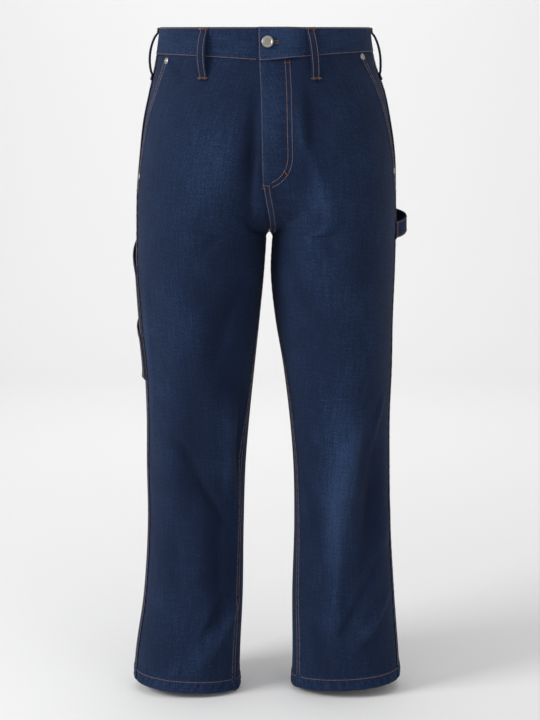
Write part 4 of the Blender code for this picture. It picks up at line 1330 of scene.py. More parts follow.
@dataclass
class Waistband:
    """One strip of doubled denim from its end under the left front, round the back, to its end on top."""

    pitch: float = 0.004
    rows: int = 13

    def stations(self) -> list[tuple[Side, Face, float, bool]]:
        """The strip's stations: side, face, share of the way to the side, and whether it is the upper end."""
        front = float(Form.length(L, Face.FRONT, BAND_SIDE[L] / 2)[0])
        made = [(L, Face.FRONT, a / front, False) for a in np.arange(BAND_UNDERLAP, 0.0005, -self.pitch)]
        count = round(front / self.pitch)
        shares = np.linspace(0, 1, count + 1)
        made += [(R, Face.FRONT, s, False) for s in shares]
        made += [(R, Face.BACK, s, False) for s in shares[::-1][1:]]
        made += [(L, Face.BACK, s, False) for s in shares[1:]]
        made += [(L, Face.FRONT, s, False) for s in shares[::-1][1:] if s * front > BAND_EASE + 0.002]
        upper = np.concatenate((np.arange(BAND_EASE, -FLY_LAP, -0.003), [-0.0068, -0.0080, -FLY_LAP]))
        return made + [(L, Face.FRONT, a / front, True) for a in upper]

    def build(self, finishes: Finishes) -> bpy.types.Object:
        """The waistband as a cloth shell."""
        stations = self.stations()
        front = float(Form.length(L, Face.FRONT, BAND_SIDE[L] / 2)[0])
        t = np.concatenate(([0.0, 0.025], np.linspace(0.06, 0.94, self.rows), [0.975, 1.0]))
        points = np.zeros((len(t), len(stations), 3))
        wear_and_shade = np.zeros((len(t), len(stations)))
        uv = np.zeros((len(t), len(stations), 2))
        groups: dict[tuple[Side, Face], list[int]] = {}
        for k, (side, face, _, _) in enumerate(stations):
            groups.setdefault((side, face), []).append(k)
        for (side, face), ids in groups.items():
            share = np.array([stations[k][2] for k in ids])
            upper = np.array([stations[k][3] for k in ids])
            level = np.zeros(len(ids))
            top_y = Form.place(side, face, share * Form.length(side, face, level), level)[:, 1]
            top = -WAIST_DIP * top_y
            bottom = band_bottom(side, face, np.maximum(share, 0))
            drop = top[None, :] + (bottom - top)[None, :] * t[:, None]
            across = share[None, :] * Form.length(side, face, drop.ravel()).reshape(drop.shape)
            clear = BAND_UNDERLAP + 0.003
            eased = ease((share * front - clear) / (BAND_EASE - clear))
            lift = BAND_PROUD + np.where(upper, (BAND_WALL + LAYER_GAP) * (1 - eased), 0.0)
            edge = np.minimum(t, 1 - t)[:, None] * (bottom - top)[None, :]
            pucker = ripple(across * side * face, 0.015, 4.0 + side)
            pucker = pucker * np.exp(-(((edge - 0.003) / 0.006) ** 2))
            lifts = lift[None, :] - 0.0006 * (1 - ease(edge / 0.0014)) + 0.00038 * pucker
            made = lay_cloth(ClothGrid(side, face, across, drop, lifts))
            for n, k in enumerate(ids):
                points[:, k] = made.points[:, n]
                # The band is painted paler all over by 0.3, on top of its painted crease shade and highlight.
                wear_and_shade[:, k] = made.wear_and_shade[:, n] + 0.3
        steps = np.linalg.norm(np.diff(points[0], axis=0), axis=1)
        run = np.concatenate(([0.0], np.cumsum(steps)))
        uv[:, :, 1] = run[None, :]
        uv[:, :, 0] = 0.044 * t[:, None]
        made = cloth_object("waistband", Cloth(points, wear_and_shade), uv, 1, BAND_WALL, finishes)
        made.data.materials[1] = finishes.denim
        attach(made, "root")
        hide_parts("waistband")
        LOG.info("waistband: %d quads", len(made.data.polygons))
        return made


class LoopSize(NamedTuple):
    """A belt loop's place from the centre seam, and how far it leans over its length."""

    name: str
    side: Side
    face: Face
    across: float | None
    lean: float


LOOPS = (
    LoopSize("loop_front_right", R, Face.FRONT, 0.084, 0.004),
    LoopSize("loop_front_left", L, Face.FRONT, 0.063, 0.006),
    LoopSize("loop_side_right", R, Face.BACK, None, 0.0),
    LoopSize("loop_side_left", L, Face.BACK, None, 0.0),
    LoopSize("loop_back", R, Face.BACK, 0.0, 0.0),
)


@dataclass
class BeltLoop:
    """A folded strip sewn down above and below the waistband, standing off it between."""

    size: LoopSize
    width: float = 0.0125
    wall: float = 0.0018
    length: float = 0.072
    bulge: float = 0.0088
    sewn: float = 0.10

    def at(self, t: np.ndarray, k: np.ndarray, proud: float = 0.0) -> np.ndarray:
        """Points on the strip's outside.

        Args:
            t: Shares of the way down.
            k: Places across the strip, from -0.5 to 0.5.
            proud: How far above the outside.

        Returns:
            The points.
        """
        side, face = self.size.side, self.size.face
        level = Form.length(side, face, 0.001 + self.length * t)
        middle = level if self.size.across is None else np.full(t.shape, self.size.across)
        across = middle + self.size.lean * t + k * self.width
        top_y = Form.place(side, face, across, np.zeros(t.shape))[:, 1]
        drop = -WAIST_DIP * top_y + 0.001 + self.length * t
        on_band = 1 - ease((t - self.sewn) / (0.5 - self.sewn))
        free = np.clip((t - self.sewn) / (1 - 2 * self.sewn), 0, 1)
        out = 0.0005 + BAND_PROUD * on_band + self.bulge * np.sin(math.pi * free) ** 0.7
        crown = 0.0004 * (1 - (2 * k) ** 2) - 0.0005 * ease((np.abs(k) - 0.40) / 0.10)
        ridge = 0.00018 * ripple(t * self.length, 0.0055, 1.0) * (np.abs(k) > 0.25)
        lift = out + self.wall + crown + ridge + proud
        return surface_points(ClothGrid(side, face, across[None], drop[None], lift[None]))[0]

    def build(self, finishes: Finishes) -> bpy.types.Object:
        """The loop as a cloth shell."""
        t = np.linspace(0, 1, 40)
        k = np.array([-0.5, -0.46, -0.38, -0.25, -0.1, 0.0, 0.1, 0.25, 0.38, 0.46, 0.5])
        rows = [self.at(np.full(len(k), share), k) for share in t]
        uv = np.stack(np.meshgrid(k * self.width, -t * self.length), axis=2)
        strip = Cloth(np.array(rows), np.zeros((len(t), len(k))))
        made = cloth_object(self.size.name, strip, uv, self.size.side * self.size.face, self.wall, finishes)
        made.data.materials[1] = finishes.denim
        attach(made, "root")
        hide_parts(self.size.name)
        return made

    def stitches(self) -> list[np.ndarray]:
        """The two rows down the strip."""
        t = np.linspace(0.02, 0.98, 36)
        return [self.at(t, np.full(t.shape, k), 0.0001) for k in (-0.30, 0.30)]

    def tacks(self) -> list[np.ndarray]:
        """The bars that sew its two ends down, as zigzags."""
        made = []
        for share in (0.028, 0.965):
            k = np.linspace(-0.56, 0.56, 30)
            t = share + np.where(np.arange(30) % 2, 0.012, -0.012)
            made.append(self.at(t, k, 0.00035))
        return made


@dataclass
class HammerLoop:
    """A strap from the left outseam back to the seat side of the leg, bowed out."""

    front_drop: float = 0.290
    back_drop: float = 0.268
    width: float = 0.024
    length: float = 0.100
    sewn: float = 0.09
    bulge: float = 0.0165
    wall: float = 0.0022

    def at(self, t: np.ndarray, k: np.ndarray, proud: float = 0.0) -> np.ndarray:
        """Points on the strap's outside, t along it from the outseam and k from -0.5 to 0.5 down it."""
        drop = self.front_drop + (self.back_drop - self.front_drop) * t + k * self.width
        across = side_seam(L, Face.BACK, drop) - self.length * t
        free = np.clip((t - self.sewn) / (1 - 2 * self.sewn), 0, 1)
        out = LAYER_GAP + self.bulge * np.sin(math.pi * free) ** 0.75
        roll = -0.0006 * ease((np.abs(k) - 0.44) / 0.06)
        ridge = 0.0002 * ripple(t * self.length, 0.011, 2.0) * (np.abs(k) > 0.3)
        lift = out + self.wall + roll + proud + ridge
        return surface_points(ClothGrid(L, Face.BACK, across[None], drop[None], lift[None]))[0]

    def build(self, finishes: Finishes) -> bpy.types.Object:
        """The strap as a cloth shell."""
        t = np.linspace(0, 1, 44)
        k = np.array([-0.5, -0.47, -0.42, -0.3, -0.15, 0.0, 0.15, 0.3, 0.42, 0.47, 0.5])
        rows = [self.at(t, np.full(len(t), place)) for place in k]
        uv = np.stack(np.meshgrid(t * self.length, k * self.width), axis=2)
        strip = Cloth(np.array(rows), np.zeros((len(k), len(t))))
        made = cloth_object("hammer_loop", strip, uv[:, :, ::-1].copy(), -1, self.wall, finishes)
        made.data.materials[1] = finishes.denim
        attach(made, "root")
        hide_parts("hammer_loop")
        return made

    def stitches(self) -> list[np.ndarray]:
        """Rows along both edges, and the box where it is sewn down at the outseam."""
        t = np.linspace(0.02, 0.98, 50)
        made = [self.at(t, np.full(t.shape, k), 0.0001) for k in (-0.40, 0.40)]
        for share in (0.03, 0.10, 0.97):
            k = np.linspace(-0.40, 0.40, 12)
            made.append(self.at(np.full(k.shape, share), k, 0.0001))
        return made


class StitchTree:
    """Geometry Nodes that lay stitches along a path, or make a path into thread."""

    @staticmethod
    def dashes(material: bpy.types.Material) -> bpy.types.NodeTree:
        """A tree that puts a slim capsule at each step of the path.

        Args:
            material: The thread.

        Returns:
            The tree, with inputs Pitch, Length and Radius.
        """
        tree = StitchTree.start("stitch_dashes", ("Pitch", 0.0033), ("Length", 0.0026), ("Radius", 0.00036))
        given = tree.nodes["Group Input"].outputs
        curve = add_node(tree, "GeometryNodeMeshToCurve", {"Mesh": given["Geometry"]})
        dots = add_node(
            tree,
            "GeometryNodeCurveToPoints",
            {"Curve": curve.outputs[0], "Length": given["Pitch"]},
            mode="LENGTH",
        )
        ball = add_node(tree, "GeometryNodeMeshUVSphere", {"Segments": 6, "Rings": 4, "Radius": 0.5})
        thick = add_node(tree, "ShaderNodeMath", {0: given["Radius"], 1: 2.0}, operation="MULTIPLY")
        jitter = add_node(tree, "FunctionNodeRandomValue", {2: 0.88, 3: 1.1, "Seed": 7}, data_type="FLOAT")
        long = add_node(
            tree, "ShaderNodeMath", {0: given["Length"], 1: jitter.outputs[1]}, operation="MULTIPLY"
        )
        size = add_node(
            tree, "ShaderNodeCombineXYZ", {"X": thick.outputs[0], "Y": thick.outputs[0], "Z": long.outputs[0]}
        )
        placed = add_node(
            tree, "GeometryNodeInstanceOnPoints",
            {
                "Points": dots.outputs["Points"], "Instance": ball.outputs["Mesh"],
                "Rotation": dots.outputs["Rotation"], "Scale": size.outputs[0],
            },
        )
        StitchTree.end(tree, placed.outputs[0], material)
        return tree

    @staticmethod
    def thread(material: bpy.types.Material) -> bpy.types.NodeTree:
        """A tree that makes the path a round thread.

        Args:
            material: The thread.

        Returns:
            The tree, with input Radius.
        """
        tree = StitchTree.start("tack_thread", ("Radius", 0.00030))
        given = tree.nodes["Group Input"].outputs
        curve = add_node(tree, "GeometryNodeMeshToCurve", {"Mesh": given["Geometry"]})
        ring = add_node(
            tree, "GeometryNodeCurvePrimitiveCircle", {"Resolution": 5, "Radius": given["Radius"]}
        )
        tube = add_node(
            tree, "GeometryNodeCurveToMesh",
            {"Curve": curve.outputs[0], "Profile Curve": ring.outputs[0], "Fill Caps": True},
        )
        StitchTree.end(tree, tube.outputs[0], material)
        return tree

    @staticmethod
    def start(name: str, *inputs: tuple[str, float]) -> bpy.types.NodeTree:
        """A tree with a geometry input, a geometry output and named number inputs.

        Args:
            name: The tree's name.
            *inputs: Each number input's name and value.

        Returns:
            The tree.
        """
        tree = bpy.data.node_groups.new(name, "GeometryNodeTree")
        tree.interface.new_socket("Geometry", in_out="INPUT", socket_type="NodeSocketGeometry")
        for label, value in inputs:
            socket = tree.interface.new_socket(label, in_out="INPUT", socket_type="NodeSocketFloat")
            socket.default_value = value
        tree.interface.new_socket("Geometry", in_out="OUTPUT", socket_type="NodeSocketGeometry")
        add_node(tree, "NodeGroupInput").name = "Group Input"
        add_node(tree, "NodeGroupOutput").name = "Group Output"
        return tree

    @staticmethod
    def end(tree: bpy.types.NodeTree, made: bpy.types.NodeSocket, material: bpy.types.Material) -> None:
        """Realises the result, gives it its material and passes it out."""
        real = add_node(tree, "GeometryNodeRealizeInstances", {"Geometry": made})
        dressed = add_node(
            tree, "GeometryNodeSetMaterial", {"Geometry": real.outputs[0], "Material": material}
        )
        tree.links.new(dressed.outputs[0], tree.nodes["Group Output"].inputs[0])

    @staticmethod
    def sewn(
        name: str, tree: bpy.types.NodeTree, paths: Sequence[np.ndarray], **sizes: float
    ) -> bpy.types.Object:
        """Stitches along paths, as a plain mesh that rides on the jeans.

        Args:
            name: The piece's name.
            tree: The tree that makes them.
            paths: Rows of points, one array a path.
            **sizes: Values for the tree's named inputs.

        Returns:
            The stitches.
        """
        points = np.concatenate(paths)
        edges, first = [], 0
        for path in paths:
            edges += [(first + k, first + k + 1) for k in range(len(path) - 1)]
            first += len(path)
        mesh = bpy.data.meshes.new(name)
        mesh.from_pydata(points.tolist(), edges, [])
        made = bpy.data.objects.new(name, mesh)
        bpy.context.scene.collection.objects.link(made)
        modifier = made.modifiers.new("sewing", "NODES")
        modifier.node_group = tree
        for item in tree.interface.items_tree:
            if item.in_out == "INPUT" and item.name in sizes:
                modifier[item.identifier] = sizes[item.name]
        graph = bpy.context.evaluated_depsgraph_get()
        plain = bpy.data.meshes.new_from_object(made.evaluated_get(graph))
        made.modifiers.remove(modifier)
        made.data = plain
        plain.name = name
        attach(made, "root")
        LOG.info("%s: %d faces", name, len(plain.polygons))
        return made


def run_on(
    side: Side, face: Face, across: np.ndarray, drop: np.ndarray, lift: np.ndarray | float
) -> np.ndarray:
    """Points on the cloth along a stitched line, a thread's radius proud of it.

    Args:
        side: The side.
        face: The face.
        across: The line's acrosses.
        drop: The line's drops.
        lift: How far the cloth is lifted.

    Returns:
        The points.
    """
    across = np.asarray(across, float)
    drop = np.broadcast_to(np.asarray(drop, float), across.shape)
    lift = np.broadcast_to(np.asarray(lift, float), across.shape)
    return surface_points(ClothGrid(side, face, across[None], drop[None], lift[None]))[0]


@dataclass
class Sewing:
    """Every row of stitches and every bar tack on the jeans."""

    near_row: float = 0.0016
    far_row: float = 0.0080
    seam_lift: float = 0.0009
    paths: dict[str, list[np.ndarray]] = field(default_factory=dict)
    tacks: list[np.ndarray] = field(default_factory=list)

    def add(self, group: str, *made: np.ndarray) -> None:
        """Adds paths to a group, which becomes one piece."""
        self.paths.setdefault(group, []).extend(made)

    def tack(
        self, side: Side, face: Face, across: float, drop: float, lean: float, lift: float, long: float
    ) -> None:
        """Adds a bar tack.

        Args:
            side: The side.
            face: The face.
            across: Its middle's across.
            drop: Its middle's drop.
            lean: Its angle from straight down, in degrees.
            lift: How far the cloth there is lifted.
            long: Its length.
        """
        steps = np.linspace(-0.5, 0.5, 26)
        sway = np.where(np.arange(26) % 2, 0.0009, -0.0009)
        turn = math.radians(lean)
        down = drop + long * steps * math.cos(turn) - sway * math.sin(turn)
        over = across + long * steps * math.sin(turn) + sway * math.cos(turn)
        if face == Face.BACK:
            over = over + Form.length(side, face, down) - Form.length(side, face, drop)
        self.tacks.append(run_on(side, face, over, down, lift + 0.00035))

    def leg_seams(self) -> None:
        """Outseams, inseams, pocket mouths and hems."""
        for side in Side:
            drop = np.linspace(BAND_SIDE[side] + 0.004, HEM_SIDE_DROP[side] - 0.004, 330)
            seam = side_seam(side, Face.BACK, drop)
            for row in (self.near_row, self.far_row):
                self.add("outseam_stitches", run_on(side, Face.BACK, seam - row, drop, self.seam_lift))
            drop = np.linspace(CROTCH_DROP + 0.012, HEM_INNER_DROP[side] - 0.003, 300)
            edge = centre_edge(side, Face.FRONT, drop)
            for row in (self.near_row, self.far_row):
                self.add("inseam_stitches", run_on(side, Face.FRONT, edge + row, drop, self.seam_lift))
            drop = np.linspace(BAND_SIDE[side] + 0.012, POCKET_DROP - 0.002, 100)
            mouth = pocket_mouth(side, drop)
            for row in (self.near_row, self.far_row):
                self.add("pocket_stitches", run_on(side, Face.FRONT, mouth - row, drop, self.seam_lift))
            foot = float(pocket_mouth(side, np.array([POCKET_DROP - 0.001]))[0]) - 0.004
            self.tack(side, Face.FRONT, foot, POCKET_DROP - 0.004, 70, 0.0012, 0.009)
            for face in Face:
                share = np.linspace(-0.10, 1.12, 130)
                length = float(Form.length(side, face, 0.95)[0])
                held = np.clip(share, 0, 1)
                low = HEM_INNER_DROP[side] + (HEM_SIDE_DROP[side] - HEM_INNER_DROP[side]) * held
                edge = centre_edge(side, face, low) / length
                outer = side_seam(side, face, low) / length
                kept = (share > edge) & (share < outer)
                self.add(
                    "hem_stitches",
                    run_on(side, face, (share * length)[kept], (low - 0.0172)[kept], 0.0011),
                )

    def fly(self) -> None:
        """The double J, the fly's edge, the crotch seam and their tacks."""
        t = np.linspace(0, 1, 90)
        for inset in (0.0, 0.0062):
            straight = np.linspace(0.052, 0.182, 60)
            bend = np.linspace(0, math.pi / 2, 40)
            radius_x, radius_z = 0.0405 - inset, 0.044 - inset
            across = np.concatenate((np.full(60, 0.0335 - inset), -0.007 + radius_x * np.cos(bend)))
            drop = np.concatenate((straight, 0.182 + radius_z * np.sin(bend)))
            self.add("fly_stitches", run_on(L, Face.FRONT, across, drop, fly_lift(across, drop) + 0.0002))
        drop = np.linspace(0.052, 0.224, 80)
        edge = -fly_lap(drop) + self.near_row
        self.add("fly_stitches", run_on(L, Face.FRONT, edge, drop, fly_lift(edge, drop) + 0.0005))
        drop = 0.226 + (0.2912 - 0.226) * np.sin(t * math.pi / 2) ** 0.7
        for row in (self.near_row, self.far_row):
            edge = -fly_lap(drop) + row
            self.add("fly_stitches", run_on(L, Face.FRONT, edge, drop, self.seam_lift))
        self.tack(L, Face.FRONT, 0.030, 0.055, 90, 0.0006, 0.008)
        self.tack(L, Face.FRONT, -0.003, 0.222, 82, 0.0014, 0.009)
        self.tack(L, Face.FRONT, 0.024, 0.205, 40, 0.0010, 0.008)

    def back(self) -> None:
        """The seat seam, the yoke seams and the patch pockets."""
        t = np.linspace(0, 1, 110)
        drop = YOKE_CENTRE_DROP + (0.291 - YOKE_CENTRE_DROP) * np.sin(t * math.pi / 2) ** 0.8
        for row in (self.near_row, self.far_row):
            self.add("seat_stitches", run_on(L, Face.BACK, np.full(t.shape, row), drop, self.seam_lift))
            high = np.linspace(0.047, YOKE_CENTRE_DROP - 0.001, 30)
            self.add("seat_stitches", run_on(L, Face.BACK, np.full(30, row), high, 0.0006))
        for side in Side:
            for row in (self.near_row, self.far_row):
                share = np.linspace(0.01, 0.985, 90)
                low = yoke_bottom(share) - row
                across = share * Form.length(side, Face.BACK, low)
                self.add("seat_stitches", run_on(side, Face.BACK, across, low, 0.0007))
                self.patch_rows(side, row)
            for sign in (-1, 1):
                corner = PATCH_ACROSS + sign * (PATCH_HALF_TOP - 0.0035)
                self.tack(side, Face.BACK, corner, PATCH_DROP + 0.003 - sign * 0.007, 90, 0.0026, 0.007)

    def patch_rows(self, side: Side, row: float) -> None:
        """One row round a back pocket's sides and foot, and along its mouth.

        Args:
            side: The side.
            row: The row's distance from the edge.
        """
        lift = DENIM + LAYER_GAP + 0.0007
        down = np.linspace(0.004, PATCH_HEIGHT - row * 0.6, 40) + PATCH_DROP
        share = np.linspace(0.02, 0.98, 60)
        foot = back_pocket_foot(share) - row * 1.1
        half = PATCH_HALF_FOOT - row
        mouth = PATCH_ACROSS + (PATCH_HALF_TOP - 0.002) * (2 * share - 1)
        self.add(
            "patch_stitches",
            run_on(side, Face.BACK, back_pocket_edges(-1)(down) + row, down, lift),
            run_on(side, Face.BACK, back_pocket_edges(1)(down) - row, down, lift),
            run_on(side, Face.BACK, PATCH_ACROSS + half * (2 * share - 1), foot, lift),
            run_on(side, Face.BACK, mouth, back_pocket_top(share) + row + 0.006, lift),
        )

    def tools(self) -> None:
        """The two tool pockets' mouths and sides."""
        for size in TOOL_SIZES:
            lift = size.lift + 0.0008
            share = np.linspace(0.02, 0.98, 50)
            for row in (self.near_row, self.far_row):
                drop = size.mouth_back + (size.mouth_seam - size.mouth_back) * share + row
                edge = side_seam(R, Face.BACK, drop) - size.inset
                across = edge - size.width * (1 - share)
                gape = size.gape * math.exp(-((row / 0.022) ** 2)) * np.sin(math.pi * share) ** 0.6
                self.add("tool_stitches", run_on(R, Face.BACK, across, drop, lift + gape))
            drop = np.linspace(size.mouth_back + 0.004, size.foot - 0.002, 70)
            near = side_seam(R, Face.BACK, drop) - size.inset - size.width
            for row in (self.near_row, self.far_row):
                self.add("tool_stitches", run_on(R, Face.BACK, near + row, drop, lift))
            drop = np.linspace(size.mouth_seam + 0.004, size.foot - 0.002, 70)
            far = side_seam(R, Face.BACK, drop) - size.inset
            for row in (self.near_row, self.far_row):
                self.add("tool_stitches", run_on(R, Face.BACK, far - row, drop, lift))
            share = np.linspace(0.01, 0.99, 40)
            seam = float(side_seam(R, Face.BACK, np.array([size.foot]))[0])
            across = seam - size.inset - size.width * share
            self.add("tool_stitches", run_on(R, Face.BACK, across, size.foot - self.near_row, lift))
            for t in (0.02, 0.98):
                drop_at = size.mouth_back + (size.mouth_seam - size.mouth_back) * t
                edge_at = float(side_seam(R, Face.BACK, np.array([drop_at]))[0]) - size.inset
                inward = 0.003 if t < 0.5 else -0.002
                across = edge_at - size.width * (1 - t) + inward
                self.tack(R, Face.BACK, across, drop_at + 0.006, 0, lift, 0.009)

    def band(self) -> None:
        """The rows along the waistband's two edges, its end and its buttonhole."""
        front = float(Form.length(L, Face.FRONT, BAND_SIDE[L] / 2)[0])
        for inset_top, inset_foot in ((0.0017, None), (None, 0.0017)):
            for side, face in ((R, Face.FRONT), (R, Face.BACK), (L, Face.BACK), (L, Face.FRONT)):
                low = FLY_LAP / front + 0.02 if (side, face) == (R, Face.FRONT) else 0.0
                low = -FLY_LAP / front + 0.016 if (side, face) == (L, Face.FRONT) else low
                share = np.linspace(low, 1.0, 90)
                level = np.zeros(len(share))
                y = Form.place(side, face, share * Form.length(side, face, level), level)[:, 1]
                if inset_foot is None:
                    drop = -WAIST_DIP * y + inset_top
                else:
                    drop = band_bottom(side, face, np.maximum(share, 0)) - inset_foot
                across = share * Form.length(side, face, drop)
                lift = np.full(share.shape, BAND_PROUD)
                if (side, face) == (L, Face.FRONT):
                    clear = BAND_UNDERLAP + 0.003
                    eased = ease((share * front - clear) / (BAND_EASE - clear))
                    lift = lift + (BAND_WALL + LAYER_GAP) * (1 - eased)
                self.add("band_stitches", run_on(side, face, across, drop, lift + 0.0001))
        lift = BAND_PROUD + BAND_WALL + LAYER_GAP + 0.0001
        drop = np.linspace(0.0085, 0.0515, 20)
        self.add("band_stitches", run_on(L, Face.FRONT, np.full(20, -FLY_LAP + 0.0018), drop, lift))
        for sway in (-0.0016, 0.0016):
            across = np.linspace(0.007, 0.019, 30)
            zigzag = np.where(np.arange(30) % 2, 0.0006, -0.0006)
            self.tacks.append(run_on(L, Face.FRONT, across, 0.0275 + sway + zigzag, lift + 0.0003))

    def build(self, finishes: Finishes, strips: Sequence[BeltLoop | HammerLoop]) -> None:
        """Makes every group of stitches and the tacks.

        Args:
            finishes: The materials.
            strips: The strips that carry stitches of their own.
        """
        self.leg_seams()
        self.fly()
        self.back()
        self.tools()
        self.band()
        for strip in strips:
            self.add("strip_stitches", *strip.stitches())
            if isinstance(strip, BeltLoop):
                self.tacks.extend(strip.tacks())
        dashes = StitchTree.dashes(finishes.thread)
        for group, paths in self.paths.items():
            StitchTree.sewn(group, dashes, paths, Pitch=0.0033, Length=0.0027, Radius=0.00041)
        StitchTree.sewn("bar_tacks", StitchTree.thread(finishes.tack_thread), self.tacks, Radius=0.00034)


@dataclass
class Hardware:
    """The waist button and the rivets, turned from profiles on the CAD pieces' own places."""

    sides: int = 40
    side_share: float = 0.9
    button_radius: float = 0.0083
    rivet_radius: float = 0.0048

    def turned(
        self, name: str, profile: Sequence[tuple[float, float]], finishes: Finishes
    ) -> bpy.types.Object:
        """A turned piece on a CAD node's place, replacing it.

        Args:
            name: The CAD node that it replaces.
            profile: (radius, height) pairs from the top's centre down the outside.
            finishes: The materials.

        Returns:
            The piece.
        """
        low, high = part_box(name)
        centre = (low + high) / 2
        outward = Vector((centre.x * self.side_share, centre.y, 0.0))
        if name == "waist_button":
            outward = Vector((0.0, -1.0, 0.0))
        foot, axis = self.seat(bpy.data.objects[name], outward)
        turn = axis.to_track_quat("Z", "Y").to_matrix()
        angles = np.linspace(0, 2 * math.pi, self.sides, endpoint=False)
        points = [foot + turn @ Vector((0, 0, profile[0][1]))]
        for radius, height in profile[1:]:
            ring = [Vector((radius * math.cos(a), radius * math.sin(a), height)) for a in angles]
            points += [foot + turn @ place for place in ring]
        faces: list[tuple[int, ...]] = []
        for i in range(self.sides):
            k = (i + 1) % self.sides
            faces.append((0, 1 + i, 1 + k))
            for step in range(len(profile) - 2):
                a, b = 1 + step * self.sides, 1 + (step + 1) * self.sides
                faces.append((a + i, b + i, b + k, a + k))
        last = 1 + (len(profile) - 2) * self.sides
        faces.append(tuple(last + i for i in reversed(range(self.sides))))
        mesh = bpy.data.meshes.new(name + "_turned")
        mesh.from_pydata([tuple(p) for p in points], [], faces)
        mesh.shade_smooth()
        mesh.materials.append(finishes.metal)
        made = bpy.data.objects.new(name + "_turned", mesh)
        bpy.context.scene.collection.objects.link(made)
        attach(made, "root")
        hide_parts(name)
        return made

    @staticmethod
    def seat(node: bpy.types.Object, outward: Vector) -> tuple[Vector, Vector]:
        """The middle of a CAD cap's foot, and the direction that it faces.

        Args:
            node: The CAD cap.
            outward: Roughly the direction that it faces.

        Returns:
            The middle and the unit direction.
        """
        points = np.array([tuple(vertex.co) for vertex in node.data.vertices])
        centre = points.mean(axis=0)
        _, _, axes = np.linalg.svd(points - centre, full_matrices=False)
        axis = Vector(axes[2])
        if axis.dot(outward) < 0:
            axis = -axis
        heights = (points - centre) @ np.array(axis)
        foot = Vector(centre) + axis * float(heights.min())
        return foot, axis

    def build(self, finishes: Finishes) -> None:
        """The button, a bare dished cap with a rolled rim, and four rivets with a raised nub."""
        r = self.button_radius
        button = (
            (0, 0.0036), (r * 0.30, 0.0036), (r * 0.52, 0.0036), (r * 0.62, 0.0037), (r * 0.70, 0.0041),
            (r * 0.80, 0.0045), (r * 0.90, 0.0044), (r * 0.97, 0.0038), (r, 0.0030), (r * 0.96, 0.0022),
            (r * 0.86, 0.0019), (r * 0.36, 0.0016), (r * 0.36, 0.0),
        )
        self.turned("waist_button", button, finishes)
        r = self.rivet_radius
        rivet = (
            (0, 0.0019), (r * 0.14, 0.0018), (r * 0.24, 0.0013), (r * 0.40, 0.0011), (r * 0.62, 0.0013),
            (r * 0.84, 0.0011), (r * 0.97, 0.0006), (r, 0.0002), (r * 0.98, 0.0),
        )
        for number in range(1, 5):
            self.turned(f"rivet_{number}", rivet, finishes)


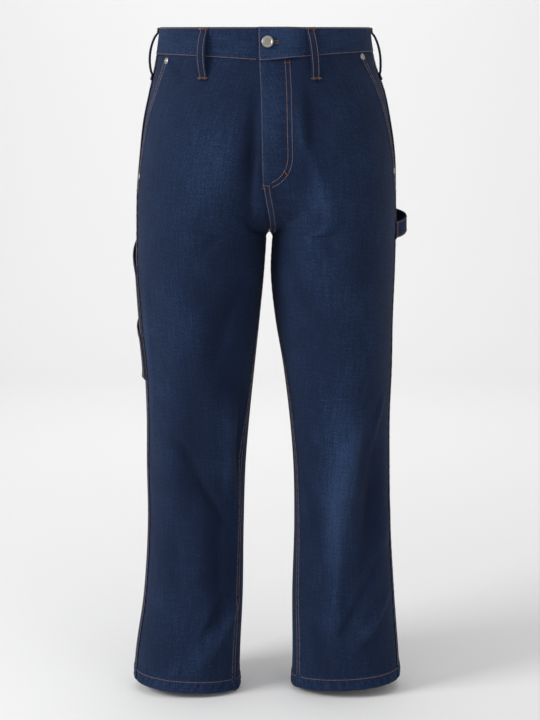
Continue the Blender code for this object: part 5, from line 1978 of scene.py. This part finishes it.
@dataclass
class Studio:
    """A pale floor that curves up behind, soft lights and the photograph's camera."""

    floor_z: float = -0.9555
    paper: str = "#f1f1f1"
    paper_far: float = 3.2
    paper_bend: float = 1.2
    lens: float = 82.35
    pitch: float = 7.69

    def build(self) -> None:
        """Makes the floor, the lights, the world and the camera."""
        self.backdrop()
        self.light("key", (-2.3, -1.35, 0.75), 1.1, 56.0)
        self.light("fill", (1.6, -2.6, 0.3), 1.6, 9.0)
        self.light("top", (0.0, -0.6, 2.4), 2.4, 12.0)
        self.light("paper", (0.0, 2.0, 1.7), 2.0, 27.0, (0.0, 4.4, -0.4))
        world = bpy.data.worlds.new("studio")
        bpy.context.scene.world = world
        world.use_nodes = True
        background = world.node_tree.nodes["Background"]
        background.inputs["Color"].default_value = (1.0, 1.0, 1.0, 1.0)
        background.inputs["Strength"].default_value = 0.56
        bpy.context.scene.view_settings.view_transform = "Standard"
        camera = bpy.data.cameras.new("camera")
        camera.lens = self.lens
        camera.sensor_width = 36.0
        camera.sensor_fit = "AUTO"
        made = bpy.data.objects.new("camera", camera)
        made.location = (0.0058, -2.40, -0.1355)
        made.rotation_euler = (math.radians(90 - self.pitch), 0.0, 0.0)
        bpy.context.scene.collection.objects.link(made)
        bpy.context.scene.camera = made

    def backdrop(self) -> None:
        """A sheet of paper that runs from in front of the jeans up behind them."""
        far, bend = self.paper_far, self.paper_bend
        profile = [(-6.0, 0.0), (far, 0.0)]
        turns = np.linspace(0.1, math.pi / 2, 14)
        profile += [(far + bend * math.sin(a), bend - bend * math.cos(a)) for a in turns]
        profile.append((far + bend, 6.0))
        points = [(x, y, self.floor_z + z) for y, z in profile for x in (-7.0, 7.0)]
        faces = [(2 * k, 2 * k + 1, 2 * k + 3, 2 * k + 2) for k in range(len(profile) - 1)]
        mesh = bpy.data.meshes.new("backdrop")
        mesh.from_pydata(points, [], faces)
        mesh.shade_smooth()
        made_material, _, shader = blank_material("matt_white_paper")
        shader.inputs["Base Color"].default_value = linear(self.paper)
        shader.inputs["Roughness"].default_value = 0.9
        mesh.materials.append(made_material)
        made = bpy.data.objects.new("backdrop", mesh)
        bpy.context.scene.collection.objects.link(made)

    @staticmethod
    def light(
        name: str,
        place: tuple[float, float, float],
        size: float,
        power: float,
        aim: tuple[float, float, float] = (0.0, 0.0, -0.45),
    ) -> None:
        """A square soft light that faces the middle of the jeans, unless it has another aim.

        Args:
            name: The light's name.
            place: Where it stands.
            size: The length of its sides.
            power: Its power in watts.
            aim: The point that it faces.
        """
        data = bpy.data.lights.new(name, "AREA")
        data.size = size
        data.energy = power
        made = bpy.data.objects.new(name, data)
        made.location = place
        made.rotation_euler = (Vector(aim) - Vector(place)).to_track_quat("-Z", "Y").to_euler()
        bpy.context.scene.collection.objects.link(made)


def clear_scene() -> None:
    """Removes what the scene starts with."""
    for old in list(bpy.data.objects):
        bpy.data.objects.remove(old)


def main() -> None:
    """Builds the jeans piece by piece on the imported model."""
    logging.basicConfig(level=logging.INFO, format="%(name)s: %(message)s")
    clear_scene()
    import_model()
    finishes = Finishes()
    for side, word in ((R, "right"), (L, "left")):
        LegPanel(side, Face.FRONT).build(f"front_{word}", finishes)
        LegPanel(side, Face.BACK).build(f"back_{word}", finishes)
        facing(side, f"facing_{word}").build(finishes)
        yoke(side, f"yoke_{word}").build(finishes)
        back_pocket(side, f"back_pocket_{word}", f"back_{word}").build(finishes)
    Waistband().build(finishes)
    for size in TOOL_SIZES:
        tool_pocket(size).build(finishes)
    loops = [BeltLoop(size) for size in LOOPS]
    strap = HammerLoop()
    for strip in [*loops, strap]:
        strip.build(finishes)
    Hardware().build(finishes)
    Sewing().build(finishes, [*loops, strap])
    Studio().build()


if __name__ == "__main__":
    main()
